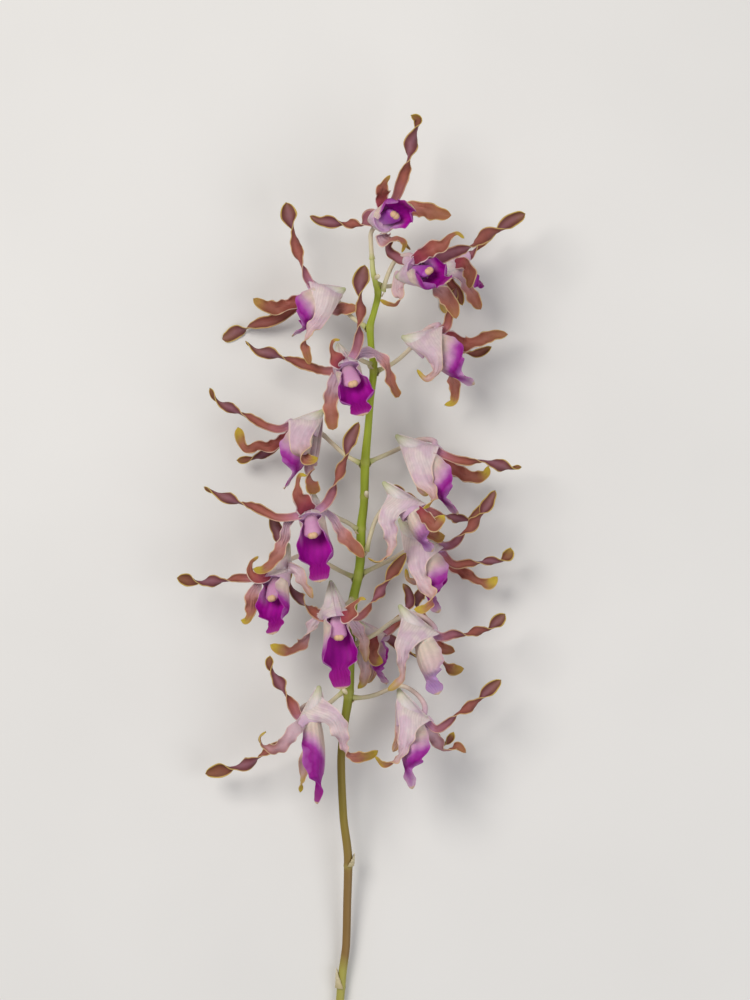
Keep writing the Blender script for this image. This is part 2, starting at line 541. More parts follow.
         stalk=((342, 572, 23), (322, 562, 16), (302, 556, 13), (284, 563, 19), (273, 571, 29)),
         dorsal=((269, 579, 40, 11, 0), (258, 578, 41, 12, 0), (250, 571, 41, 7, 0),
           (251, 563, 41, 4, 0), (258.6, 556.4, 41, 3, 0)),
         petals=(((266, 579, 38, 8, 0), (252, 578, 36, 8, 0), (240, 578, 35, 9, 10),
           (226.5, 580, 34, 9, 90), (212.5, 581, 33, 12, 180), (199, 582.5, 32, 9, 270),
           (188, 580, 31, 13, 350), (177, 578, 31, 3, 370)),
          ((272, 577, 37, 8, 0), (278, 562, 35, 9, 30), (281, 548, 34, 9, 90),
           (279, 534, 33, 13, 180), (274, 522, 32, 10, 180), (274, 513, 32, 3, 180))),
         sides=(((257, 580, 36, 10, 0), (253, 592, 35, 13, 0), (251, 606, 35, 13, 0),
           (250, 615, 35, 8, 0), (246, 621, 35, 7, 0), (241, 620, 35, 3, 0)),
          ((277, 577, 35, 12, 180), (290, 567, 38, 13, 180), (299, 574, 40, 13, 180),
           (305, 585, 40, 11, 180), (313, 598, 39, 4, 180)))),
    dict(name="bloom_13", root=599, lip_turn=0, spur=(331, 582, 38), heart=(339, 616, 52),
         lip_tip=(342, 688, 50),
         stalk=((347, 604, 35), (343, 609, 42), (340, 613, 47)),
         dorsal=((341, 620, 53, 12, 0), (349, 615, 55, 16, 0), (354, 606, 57, 12, 0),
           (357, 601, 58, 5, 0), (361, 598, 59, 4, 0), (366, 598.6, 59, 3, 0)),
         petals=(((338, 620, 48, 9, 0), (321, 615, 40, 12, 0), (309, 607, 32, 9, 90),
           (302, 600, 27, 12, 180), (293, 591, 22, 9, 270), (288, 581, 19, 12, 360),
           (291, 572, 18, 3, 380)),
          ((343, 620, 49, 8, 0), (360, 616, 46, 8, 0), (368, 608, 44, 9, 20), (374, 600, 42, 8, 90),
           (381.5, 590, 40, 12, 180), (388, 580, 38, 9, 270), (395, 568, 36, 14, 360),
           (406, 553, 35, 3, 380))),
         sides=(((332, 616, 44, 12, 180), (319, 617, 38, 11, 180), (312, 625, 35, 11, 180),
           (306.4, 637, 33, 8, 270), (300.5, 645, 31, 12, 360), (291, 651, 29, 8, 360),
           (281, 650, 28, 12, 360), (270, 645, 27, 3, 360)),
          ((344, 618, 42, 12, 180), (354, 624, 38, 12, 180), (362, 636, 36, 11, 180),
           (365, 650, 36, 9, 180), (366, 662, 36, 3, 180)))),
    dict(name="bloom_14", root=650, lip_turn=25, spur=(358, 622, 19), heart=(384, 636, 19),
         lip_tip=(388, 684, 16),
         stalk=((356, 645, 21), (364, 638, 15), (376, 634, 15)),
         dorsal=((374, 634, 24, 9, 0), (373, 643, 28, 13, 0), (372, 652, 29, 14, 0),
           (376, 660, 29, 12, 0), (383, 663, 28, 4, 0)),
         petals=(((381, 637, 20, 7, 0), (389, 630, 20, 10, 0), (398, 621, 20, 10, 20),
           (405, 612, 20, 9, 90), (410, 601, 20, 10, 180), (408, 591, 20, 8, 200),
           (403, 584, 20, 3, 210)),
          ((386, 633, 12, 7, 180), (394, 642, 8, 10, 180), (402, 650, 7, 9, 200),
           (411, 654, 8, 8, 270), (421, 660, 8, 3, 320))),
         sides=(((368, 646, 24, 11, 180), (364, 660, 25, 12, 180), (365, 673, 24, 11, 180),
           (363, 683, 23, 8, 180), (358, 689, 22, 3, 180)),
          ((372, 650, 9.5, 9, 180), (374, 664, 8, 11, 180), (372, 676, 8, 8, 180),
           (368, 684, 8, 3, 180)))),
    dict(name="bloom_15", root=645, lip_turn=35, spur=(400, 606, 36), heart=(436, 636, 36),
         lip_tip=(440, 693, 40),
         stalk=((361, 641, 29.5), (372, 636, 31), (398, 619, 28), (415, 614, 26), (429, 621, 28),
           (435, 631, 33)),
         dorsal=((435, 640, 30, 9, 0), (442, 648, 26, 11, 0), (449, 650, 25, 10, 0),
           (455, 652, 25, 3, 0)),
         petals=(((433, 638, 36, 8, 0), (444, 637, 36, 9, 0), (452, 634, 35, 10, 10),
           (466, 634.5, 34, 8, 90), (477, 631, 33, 10, 180), (489, 629, 32, 8, 270),
           (498, 621, 31, 13, 350), (505, 614, 31, 4, 360)),
          ((433, 636, 31, 8, 0), (425, 622, 25, 9, 0), (420, 609, 18, 9, 80),
           (419, 598, 13, 12, 180), (424, 588, 12, 4, 200))),
         sides=(((412, 628, 42, 16, 180), (405, 643, 44, 18, 180), (402, 657, 44, 12, 180),
           (402, 668, 42, 7, 180), (402, 677, 40, 6, 200), (396, 684, 39, 8, 200),
           (388, 690, 38, 4, 200)),
          ((424, 640, 28, 13, 180), (435, 652, 24, 12, 160), (445, 664, 23, 9, 60),
           (454, 670, 23, 12, 0), (464, 669, 23, 3, 0)))),
    dict(name="bloom_16", root=692, lip_turn=32, spur=(319, 687, 38), heart=(301, 722, 37),
         lip_tip=(316, 803, 39),
         stalk=((337, 697, 24), (324, 706, 22), (312, 704, 23), (303, 707, 27), (300, 716, 32)),
         dorsal=((299, 719, 44, 10, 180), (291, 734, 48, 14, 180), (281, 746, 47, 12, 180),
           (270, 748, 43, 9, 220), (262, 744, 42, 8, 300), (260, 737, 41, 8, 340),
           (266, 731, 41, 3, 350)),
         petals=(((306, 725, 36, 8, 0), (299, 716, 36, 9, 0), (293, 706, 35, 12, 20),
           (286, 694, 34, 8, 90), (279.7, 683, 33, 13, 180), (272, 671, 32, 9, 270),
           (269.5, 663, 31, 9, 350), (270, 656, 31, 3, 360)),
          ((304, 727, 30, 8, 0), (286, 741, 26, 8, 0), (270, 750, 24, 9, 20), (259, 757, 22, 8, 90),
           (247.6, 764.5, 20, 13, 180), (234, 768.6, 18, 9, 270), (221, 771, 16, 15, 360),
           (204.7, 775, 15, 3, 370))),
         sides=(((322, 708, 43, 14, 180), (334, 718, 45, 19, 180), (341, 732, 43, 17, 180),
           (344, 746, 40, 8, 220), (349, 755, 38, 7, 300), (360, 757, 36, 12, 360),
           (370, 755, 35, 11, 360), (378, 750.5, 35, 3, 360)),
          ((316, 725, 27, 12, 180), (309, 745, 23, 12, 180), (304, 765, 22, 11, 180),
           (302, 780, 22, 10, 250), (300, 793, 22, 4, 340)))),
    dict(name="bloom_17", root=697, lip_turn=20, spur=(399, 690, 34), heart=(428, 722, 34),
         lip_tip=(414, 788, 38),
         stalk=((362, 698, 24), (376, 695, 24), (388, 690, 25), (400, 686, 26), (414, 692, 28),
           (425, 707, 31)),
         dorsal=((427, 727, 28, 10, 180), (437, 741, 25, 12, 180), (444, 750, 25, 7, 230),
           (451, 750, 26, 6, 300), (457, 746, 27, 9, 350), (466, 753, 27, 3, 360)),
         petals=(((426, 727, 35, 7, 0), (437, 729, 36, 8, 0), (447, 723, 35, 9, 20),
           (457, 714.4, 34, 8, 90), (469, 707, 33, 11, 180), (480, 699, 32, 9, 270),
           (489, 690, 31, 13, 360), (501, 680, 31, 3, 370)),
          ((427, 727, 28, 8, 180), (436, 737, 20, 8, 180), (444, 745, 18, 8, 90),
           (450, 740, 18, 8, 0), (454, 733, 18, 3, -30))),
         sides=(((411, 715, 41, 16, 180), (407, 732, 44, 18, 180), (403, 748, 45, 11, 180),
           (396, 759, 42, 9, 270), (385, 764, 40, 8, 340), (375, 756, 39, 3, 360)),
          ((407, 715, 27, 13, 180), (401, 732, 25, 12, 180), (397, 745, 25, 8, 180),
           (393, 752, 25, 3, 180)))),
)


def place(across, down, height):
    """World point of a plan point; the height is in millimetres above the surface."""
    x = (across - PLAN_CENTRE[0]) * PLAN_UNIT
    y = (PLAN_CENTRE[1] - down) * PLAN_UNIT
    return np.array((x, y, height * MM))


def unit(vectors):
    return vectors / np.maximum(np.linalg.norm(vectors, axis=-1, keepdims=True), 1e-12)


def smooth_share(values, low, high):
    """0 below low, 1 above high, and an even S between."""
    t = np.clip((values - low) / (high - low), 0.0, 1.0)
    return t * t * (3 - 2 * t)


def smooth_span(values, start, full, easing, end):
    """1 between full and easing, 0 outside start and end, and even between."""
    return smooth_share(values, start, full) * (1 - smooth_share(values, easing, end))


def bell(values, middle, width):
    return np.exp(-((values - middle) / width) ** 2)


def rounded_end(share, start, reach, least):
    """Size of a form that is even up to a share and ends round after it."""
    size = np.sqrt(np.clip(1 - ((share - start) / reach) ** 2, least, 1.0))
    return np.where(share > start, size, 1.0)


def steady_slopes(spots, values):
    """Slopes of a smooth curve through values that never swings past them."""
    rates = np.diff(values, axis=0) / np.diff(spots)[:, None]
    before, after = rates[:-1], rates[1:]
    same_way = before * after > 0.0
    total = np.where(same_way, before + after, 1.0)
    inner = np.where(same_way, 2.0 * before * after / total, 0.0)
    return np.vstack([rates[:1], inner, rates[-1:]])


def round_slopes(spots, values):
    """Slopes of a smooth curve that bends evenly round each of its points."""
    steps = np.diff(spots)[:, None]
    rates = np.diff(values, axis=0) / steps
    inner = (steps[1:] * rates[:-1] + steps[:-1] * rates[1:]) / (steps[1:] + steps[:-1])
    return np.vstack([rates[:1], inner, rates[-1:]])


def hermite(start, start_slope, end, end_slope, t):
    """The smooth way between two places, with the slopes that it leaves and arrives with."""
    return ((1 + 2 * t) * (1 - t) ** 2 * start + t * (1 - t) ** 2 * start_slope
            + t * t * (3 - 2 * t) * end + t * t * (t - 1) * end_slope)


def between_rows(spots, rows, slopes, wanted):
    """Rows of numbers at the wanted places, on the curve through the rows at their spots."""
    i = np.clip(np.searchsorted(spots, wanted) - 1, 0, len(spots) - 2)
    span = (spots[i + 1] - spots[i])[:, None]
    t = (wanted - spots[i])[:, None] / span
    return hermite(rows[i], span * slopes[i], rows[i + 1], span * slopes[i + 1], t)


class Curve:
    """A smooth curve through rows of numbers, with places in the first three columns."""

    def __init__(self, rows, rounded=False):
        self.rows = np.array(rows, dtype=float)
        reach = np.linalg.norm(np.diff(self.rows[:, :3], axis=0), axis=1)
        self.spots = np.concatenate(([0.0], np.cumsum(reach)))
        self.length = self.spots[-1]
        self.slopes = steady_slopes(self.spots, self.rows)
        if rounded:
            self.slopes[:, :3] = round_slopes(self.spots, self.rows[:, :3])

    def at(self, spots):
        return between_rows(self.spots, self.rows, self.slopes, np.atleast_1d(spots))

    def even(self, steps):
        return self.at(np.linspace(0.0, self.length, steps + 1))

    def spots_at_knots(self, steps):
        """The route's own spots, with more between them where they lie furthest apart."""
        spans = np.diff(self.spots)
        shares = np.ones(len(spans), dtype=int)
        while shares.sum() < steps:
            shares[np.argmax(spans / shares)] += 1
        spots = [0.0]
        for start, span, count in zip(self.spots, spans, shares):
            spots += [start + span * k / count for k in range(1, count + 1)]
        return np.array(spots)


def tangents_of(places):
    return unit(np.gradient(places, axis=0))


def grid_normals(rows):
    return unit(np.cross(np.gradient(rows, axis=0), np.gradient(rows, axis=1)))


def turned_about(vectors, axes, angles):
    """Vectors turned about axes that they stand square to."""
    cosines = np.cos(angles)[:, None]
    return vectors * cosines + np.cross(axes, vectors) * np.sin(angles)[:, None]


def normals_along(places):
    """A normal at each place, carried along without twisting."""
    count = len(places)
    ends = [(places[max(i - 1, 0)], places[min(i + 1, count - 1)]) for i in range(count)]
    tangents = [unit(end - start) for start, end in ends]
    side = unit(np.cross((0.0, 0.0, 1.0), tangents[0]))
    normals = []
    for i, tangent in enumerate(tangents):
        if i:
            axis = np.cross(tangents[i - 1], tangent)
            lean = np.linalg.norm(axis)
            if lean > 1e-9:
                axis = axis / lean
                angle = math.atan2(lean, float(tangents[i - 1] @ tangent))
                side = (side * math.cos(angle) + np.cross(axis, side) * math.sin(angle)
                        + axis * float(axis @ side) * (1 - math.cos(angle)))
        side = unit(side - tangent * float(side @ tangent))
        normals.append(np.cross(tangent, side))
    return np.array(normals)


def normals_between(knots, normals, spots, tangents):
    """Normals at more spots, from those at the knots."""
    between = np.stack([np.interp(spots, knots, normals[:, k]) for k in range(3)], axis=1)
    return unit(between - tangents * np.sum(between * tangents, axis=1, keepdims=True))


def leaf_thickness(margin):
    """Thickness of a blade or a lip, from its rib to its margin."""
    return MARGIN_THICKNESS + (RIB_THICKNESS - MARGIN_THICKNESS) * (1 - margin ** 2)


def edge_phases(across, draw):
    """A start for the waves of either edge, drawn one by one."""
    starts = [draw.uniform(0.0, 2 * math.pi) for _ in range(2)]
    return np.where(across < 0.0, starts[0], starts[1])


class Shell:
    """Gathers the sheets and solids of one piece, with painted values at every point."""

    PAINT = ("along", "margin", "inner", "vein", "tint", "gold")

    def __init__(self):
        self.points = []
        self.faces = []
        self.slots = []
        self.paint = {name: [] for name in self.PAINT}
        self.count = 0

    def add(self, points, faces, slot, **paint):
        points = np.asarray(points, dtype=float).reshape(-1, 3)
        self.points.append(points)
        self.faces += [tuple(int(i) + self.count for i in face) for face in faces]
        self.slots += [slot] * len(faces)
        for name in self.PAINT:
            values = np.asarray(paint.get(name, 0.0), dtype=float).reshape(-1)
            self.paint[name].append(np.broadcast_to(values, len(points)))
        self.count += len(points)

    def add_sheet(self, rows, normals, thickness, slot, inner=(1.0, 0.0), shown=1.0, **paint):
        """A closed sheet round a grid of places; painted values are grids of the same size."""
        tall, wide = rows.shape[:2]
        half = normals * (np.broadcast_to(thickness, (tall, wide))[..., None] / 2)
        points = np.concatenate([(rows + half).reshape(-1, 3), (rows - half).reshape(-1, 3)])
        grid = np.arange(tall * wide).reshape(tall, wide)
        a, b, c, d = grid[:-1, :-1], grid[1:, :-1], grid[1:, 1:], grid[:-1, 1:]
        front = np.stack([a, b, c, d], axis=-1).reshape(-1, 4)
        back = front[:, ::-1] + tall * wide
        rim = np.concatenate([grid[:, 0], grid[-1, 1:], grid[-2::-1, -1], grid[0, -2:0:-1]])
        after = np.roll(rim, -1)
        sides = np.stack([after, rim, rim + tall * wide, after + tall * wide], axis=-1)
        faces = np.concatenate([front, back, sides])
        both = {name: np.tile(np.broadcast_to(values, (tall, wide)).reshape(-1), 2)
                for name, values in paint.items()}
        shown = np.broadcast_to(shown, (tall, wide)).reshape(-1)
        both["inner"] = np.concatenate([inner[0] * shown, inner[1] * shown])
        self.add(points, faces, slot, **both)

    def add_tube(self, rings, slot, **paint):
        """A closed solid through rings, with flat ends; painted values are one for each ring."""
        count, sides = rings.shape[:2]
        grid = np.arange(count * sides).reshape(count, sides)
        around = np.roll(grid, -1, axis=1)
        walls = np.stack([grid[:-1], around[:-1], around[1:], grid[1:]], axis=-1).reshape(-1, 4)
        faces = [tuple(face) for face in walls] + [tuple(grid[0][::-1]), tuple(grid[-1])]
        spread = {name: np.repeat(values, sides) if np.ndim(values) else values
                  for name, values in paint.items()}
        self.add(rings, faces, slot, **spread)

    def make(self, name, materials):
        mesh = bpy.data.meshes.new(name)
        mesh.from_pydata(np.concatenate(self.points).tolist(), [], self.faces)
        for material in materials:
            mesh.materials.append(material)
        mesh.polygons.foreach_set("material_index", self.slots)
        for key, values in self.paint.items():
            layer = mesh.attributes.new(key, "FLOAT", "POINT")
            layer.data.foreach_set("value", np.concatenate(values).astype(np.float32))
        shape = bmesh.new()
        shape.from_mesh(mesh)
        bmesh.ops.recalc_face_normals(shape, faces=shape.faces)
        shape.to_mesh(mesh)
        shape.free()
        mesh.shade_smooth()
        mesh.set_sharp_from_angle(angle=math.radians(SHARP_EDGE))
        piece = bpy.data.objects.new(name, mesh)
        bpy.context.scene.collection.objects.link(piece)
        return piece


def stand_for(piece, nodes):
    """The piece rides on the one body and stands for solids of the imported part."""
    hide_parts(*nodes)
    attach(piece, "root")


def ring_points(centres, across, up, half_across, half_up, sides):
    angles = np.linspace(0.0, 2 * math.pi, sides, endpoint=False)
    reach_across = np.multiply.outer(half_across, np.cos(angles))[..., None]
    reach_up = np.multiply.outer(half_up, np.sin(angles))[..., None]
    across = np.broadcast_to(across, centres.shape)[:, None, :]
    up = np.broadcast_to(up, centres.shape)[:, None, :]
    return centres[:, None, :] + across * reach_across + up * reach_up


def round_rings(places, radii, sides):
    tangents = tangents_of(places)
    normals = normals_along(places)
    return ring_points(places, np.cross(normals, tangents), normals, radii, radii, sides)


class BloomAxes:
    """The plane of symmetry of a bloom: spur to lip, and heart side up."""

    def __init__(self, bloom):
        self.spur = place(*bloom["spur"])
        self.heart = place(*bloom["heart"])
        self.lip_tip = place(*bloom["lip_tip"])
        self.along = unit(self.lip_tip - self.spur)
        self.length = float(np.linalg.norm(self.lip_tip - self.spur))
        reach = self.heart - self.spur
        self.mouth = float(reach @ self.along)
        rise = reach - self.along * self.mouth
        self.rise = float(np.linalg.norm(rise))
        self.up = unit(rise)
        self.side = np.cross(self.along, self.up)

    def point(self, along, up, side=0.0):
        along, up, side = (np.asarray(value)[..., None] for value in (along, up, side))
        return self.spur + self.along * along + self.up * up + self.side * side

    def rings(self, centres, half_width, half_height, sides):
        return ring_points(centres, -self.side, self.up, half_width, half_height, sides)

    def section(self, share):
        """Height of the middle, half width and half height of the spur at a share of it."""
        top = SPUR_TIP_RADIUS + (self.rise + SPUR_HEART_COVER) * share
        bottom = -SPUR_TIP_RADIUS - SPUR_BELLY * share
        widening = (SPUR_HALF_WIDTH - SPUR_TIP_RADIUS) * np.sin(share * math.pi / 2)
        return (top + bottom) / 2, SPUR_TIP_RADIUS + widening, (top - bottom) / 2

    def skin(self, share, turn, hand):
        """Places just off the spur's skin, turned from its flank on one hand to the heart."""
        middle, half_width, half_height = self.section(share)
        side = (half_width + WEB_OUTSET) * np.cos(turn) * hand
        up = middle + (half_height + WEB_OUTSET) * np.sin(turn)
        return self.point(self.mouth * share, up, side)

    def inside(self, point):
        """The nearest place to a point that lies well inside the mouth end of the spur."""
        reach = point - self.spur
        share = min(max(float(reach @ self.along) / self.mouth, FOOT_SHARES[0]), FOOT_SHARES[1])
        middle, half_width, half_height = self.section(share)
        side = float(reach @ self.side) / half_width
        up = (float(reach @ self.up) - middle) / half_height
        shrink = FOOT_INSET / max(math.hypot(side, up), FOOT_INSET)
        return self.point(self.mouth * share, middle + up * shrink * half_height,
                          side * shrink * half_width)


class Blade:
    """The fine surface of a petal or sepal, on the route and with the roll of its solid."""

    def __init__(self, route, axes, draw, steps, cup, wave, crimp, outline, blunt,
                 web=False, necked=False):
        rows = [(*place(*point[:3]), point[3] * PLAN_UNIT, math.radians(point[4]))
                for point in route]
        rows[0] = (*axes.inside(np.array(rows[0][:3])), *rows[0][3:])
        curve = Curve(rows, rounded=True)
        self.spots = np.linspace(0.0, curve.length, BLADE_STEPS + 1)
        samples = curve.at(self.spots)
        centres = samples[:, :3]
        centres[:, 2] = np.maximum(centres[:, 2], CAD_THICKNESS / 2)
        tangents = tangents_of(centres)

        knots = curve.spots_at_knots(steps)
        knot_normals = normals_along(Curve(rows).at(knots)[:, :3])
        normals = normals_between(knots, knot_normals, self.spots, tangents)
        up = turned_about(normals, tangents, samples[:, 4])
        free = np.clip((centres[:, 2] - CAD_THICKNESS / 2) / LIE_FLAT_HEIGHT, 0.0, 1.0)[:, None]
        flat = np.zeros_like(up)
        flat[:, 2] = np.where(up[:, 2] < 0.0, -1.0, 1.0)
        up = unit(flat * (1 - free) + up * free)
        across = unit(np.cross(up, tangents))

        half = self.half_widths(curve, samples[:, 3], rows[-2][3], blunt)
        if not web:
            begun = np.clip(self.spots / BASE_ROUNDING, 0.0, 1.0)
            half = half * (BASE_WIDTH + (1 - BASE_WIDTH) * np.sqrt(1 - (1 - begun) ** 2))
        if necked:
            begun = smooth_share(self.spots, 0.0, NECK_REACH)
            half = half * (NECK_WIDTH + (1 - NECK_WIDTH) * begun)
        self.u = np.linspace(-1.0, 1.0, BLADE_COLUMNS + 1)
        u, half, travelled = self.u[None, :], half[:, None], self.spots[:, None]
        edge = np.abs(u)
        fade = np.sin(math.pi * travelled / curve.length)
        ripple = np.sin(2 * math.pi * travelled / EDGE_WAVE_LENGTH + EDGE_WAVE_SHIFT * u)
        phase = edge_phases(u, draw)
        crimped = crimp * np.sin(2 * math.pi * travelled / CRIMP_LENGTH + phase)
        sway = np.minimum(wave, WAVE_TO_WIDTH * half)
        lift = cup * half * (u * u - 0.5) + sway * fade * edge * ripple
        lift = lift - RIB_GROOVE * bell(u, 0.0, RIB_GROOVE_WIDTH) + crimped * fade * edge ** 3
        lengths = OUTLINE_LENGTH * (1 + OUTLINE_UNEVEN * np.sign(u))
        swing = np.sin(2 * math.pi * travelled / lengths + phase)
        spread = half * u * (1 + outline * fade * swing)
        self.rows = (centres[:, None] + across[:, None] * spread[..., None]
                     + up[:, None] * (lift * free)[..., None])
        if web:
            self.add_web(axes, curve.spots[1])
        self.rows[..., 2] = np.maximum(self.rows[..., 2], MARGIN_THICKNESS)
        self.normals = grid_normals(self.rows)

        middle = self.rows[:, BLADE_COLUMNS // 2]
        reach = np.linalg.norm(np.diff(middle, axis=0), axis=1)
        self.along = (np.concatenate(([0.0], np.cumsum(reach))) / reach.sum())[:, None] + 0 * u
        self.margin = edge + 0 * self.along
        self.vein = np.linalg.norm(self.rows - middle[:, None], axis=2) * np.sign(u) / MM
        self.tint = draw.uniform(-1.0, 1.0)
        self.shown = smooth_share(np.arange(len(self.rows)), *WEB_HIDES)[:, None] if web else 1.0
        turn = float(tangents[int(CURL_FROM * BLADE_STEPS)] @ tangents[-2])
        self.gold = 1.0 - (1.0 - PLAIN_GOLD) * float(smooth_share(turn, *CURL_TURN))

    def half_widths(self, curve, widths, last_width, blunt):
        """Half the route's widths, with the last stretch made blunt and the tip round."""
        last = np.clip((self.spots - curve.spots[-2]) / (curve.length - curve.spots[-2]), 0.0, 1.0)
        blunted = blunt * last_width * np.sqrt(1 - last ** 2) + (1 - blunt) * widths
        widths = np.where(last > 0.0, np.maximum(widths, blunted), widths)
        left = np.clip((curve.length - self.spots) / TIP_ROUNDING, 0.0, 1.0)
        return widths / 2 * np.sqrt(np.maximum(1 - (1 - left) ** 2, TIP_LEAST))

    def add_web(self, axes, free_from):
        """Swap the foot for a broad web from the ridge of the spur over its flank."""
        first = int(np.searchsorted(self.spots, free_from))
        free = self.rows[first:]
        hand = math.copysign(1.0, float((free[0].mean(axis=0) - axes.spur) @ axes.side))
        t = (self.u + 1) / 2
        ridge = axes.skin(t, math.radians(WEB_RIDGE_TURN), hand)
        (low_share, low_turn), (high_share, high_turn) = WEB_FLANK
        flank = axes.skin(low_share + (high_share - low_share) * t,
                          np.radians(low_turn + (high_turn - low_turn) * t), hand)
        ends = free[0][[0, -1]]
        straight = np.linalg.norm(ends - ridge[[0, -1]], axis=1).sum()
        swapped = np.linalg.norm(ends[::-1] - ridge[[0, -1]], axis=1).sum()
        if swapped < straight:
            ridge, flank = ridge[::-1], flank[::-1]
        leave = unit(free[WEB_LEAVE_ROWS].mean(axis=0) - free[0].mean(axis=0))
        leave = leave * np.linalg.norm(free[0] - flank, axis=1).mean()
        through = (free[0] - ridge) / 2
        share = np.linspace(0.0, 1.0, WEB_ROWS + 1)[:-1, None, None]
        over_ridge = hermite(ridge, flank - ridge, flank, through, share)
        off_flank = hermite(flank, through, free[0], leave, share)
        self.rows = np.concatenate([over_ridge, off_flank, free])
        for _ in range(WEB_SMOOTHING):
            eased = (self.rows[:-2] + 2 * self.rows[1:-1] + self.rows[2:]) / 4
            self.rows[1:2 * WEB_ROWS + 3] = eased[:2 * WEB_ROWS + 2]
        folded = smooth_span(np.arange(len(self.rows)), *WEB_FOLD_SPAN)
        folds = WEB_FOLD * np.sin(2 * math.pi * WEB_FOLDS * self.u + hand) * (1 - self.u ** 4)
        folds = np.multiply.outer(folded, folds)[..., None]
        self.rows = self.rows + grid_normals(self.rows) * folds

    def add_to(self, shell, slot, inner=(1.0, 0.0)):
        shell.add_sheet(self.rows, self.normals, leaf_thickness(self.margin), slot, inner,
                        self.shown, along=self.along, margin=self.margin, vein=self.vein,
                        tint=self.tint, gold=self.gold)

    def wedge(self):
        """A thick tongue behind the blade's base, for melting it into the spur."""
        last = int(np.searchsorted(self.spots, WEDGE_REACH))
        share = (self.spots[:last] / WEDGE_REACH)[:, None]
        middle = self.rows[:last, BLADE_COLUMNS // 2][:, None]
        rows = middle + (self.rows[:last] - middle) * (1.0 - WEDGE_NARROWING * share)[..., None]
        depth = WEDGE_DEPTH[0] + (WEDGE_DEPTH[1] - WEDGE_DEPTH[0]) * share
        normals = self.normals[:last]
        return rows - normals * (WEDGE_SINK + depth[..., None] / 2), normals, depth


def spur_shell(axes):
    """Rings of the spur with a rounded tip and a shallow hollow at its mouth."""
    shares = np.linspace(0.0, 1.0, SPUR_RINGS)
    before_tip, tip_size = np.array(SPUR_TIP_ROWS).T
    before_mouth, mouth_size = np.array(SPUR_MOUTH_ROWS).T
    along = np.concatenate([before_tip * MM, shares * axes.mouth, axes.mouth - before_mouth * MM])
    size = np.concatenate([tip_size, np.ones(SPUR_RINGS), mouth_size])
    middle, half_width, half_height = (
        np.pad(values, (len(tip_size), len(mouth_size)), "edge") for values in axes.section(shares))
    return axes.rings(axes.point(along, middle), half_width * size, half_height * size, SPUR_SIDES)


def smoothed(points, edges, rounds):
    """Points eased towards their neighbours and back, so that the form keeps its size."""
    first, second = edges[:, 0], edges[:, 1]
    counts = np.bincount(edges.reshape(-1), minlength=len(points))[:, None]
    for step in EASING * rounds:
        sums = np.zeros_like(points)
        np.add.at(sums, first, points[second])
        np.add.at(sums, second, points[first])
        points = points + (sums / counts - points) * step
    return points


def melted(shell):
    """Points, edges and faces of one skin round all that a shell holds."""
    lump = shell.make("rough_body", [])
    remesh = lump.modifiers.new("melt", "REMESH")
    remesh.mode = "VOXEL"
    remesh.voxel_size = BODY_VOXEL
    graph = bpy.context.evaluated_depsgraph_get()
    mesh = bpy.data.meshes.new_from_object(lump.evaluated_get(graph))
    points = np.zeros(len(mesh.vertices) * 3)
    mesh.vertices.foreach_get("co", points)
    edges = np.zeros(len(mesh.edges) * 2, dtype=np.int64)
    mesh.edges.foreach_get("vertices", edges)
    faces = [tuple(face.vertices) for face in mesh.polygons]
    bpy.data.objects.remove(lump)
    bpy.data.meshes.remove(mesh)
    return points.reshape(-1, 3), edges.reshape(-1, 2), faces


def add_body(shell, axes, blades, slot, tint):
    """The spur and the feet of the blades, melted into one skin."""
    rough = Shell()
    rough.add_tube(spur_shell(axes), 0)
    for blade in blades:
        rough.add_sheet(*blade.wedge(), 0)
    points, edges, faces = melted(rough)
    points = smoothed(points, edges, BODY_SMOOTHING)
    reach = points - axes.spur
    share = np.clip(reach @ axes.along / axes.mouth, 0.0, SPUR_PAINT_END)
    middle, half_width, half_height = axes.section(np.clip(share, 0.0, 1.0))
    side, up = (reach @ axes.side) / half_width, ((reach @ axes.up) - middle) / half_height
    edge = np.hypot(side, up)
    throat = smooth_share(share, *THROAT_SPAN) * smooth_share(-edge, *THROAT_EDGE)
    shell.add(points, faces, slot, along=share, margin=edge, inner=throat,
              vein=np.arctan2(side, up), tint=tint)


def stem_curve():
    return Curve([(*place(*spot), radius * MM) for *spot, radius in STEM_ROUTE])


def point_on_stem(stem, down):
    """Place, radius and tangent of the stem at a distance down the plan."""
    target = place(0, down, 0)[1]
    samples = stem.even(len(STEM_ROUTE) * STEM_SEARCH_STEPS)
    index = 1 + int(np.argmin(np.abs(samples[1:-1, 1] - target)))
    tangent = unit(samples[index - 1, :3] - samples[index + 1, :3])
    return samples[index, :3], samples[index, 3], tangent


def leaving(stem, bloom):
    """Where and which way a stalk leaves the stem: root, radius, tangent, reach and way out."""
    root, radius, tangent = point_on_stem(stem, bloom["root"])
    reach = place(*bloom["stalk"][0]) - root
    return root, radius, tangent, reach, unit(reach - tangent * float(reach @ tangent))


def stalk_foot(bloom, stem):
    """The foot of a stalk at the side of the stem, or at its end for the first bloom."""
    if bloom["root"] <= STEM_ROUTE[0][1]:
        tip = place(*STEM_ROUTE[0][:3])
        return tip - unit(place(*bloom["stalk"][0]) - tip) * STALK_SINK
    root, radius, tangent, reach, out = leaving(stem, bloom)
    lift = STALK_RADIUS * (abs(float(unit(reach) @ tangent)) + STALK_LIFT)
    return root + out * (radius + SEAT_GAP + lift - STALK_SINK)


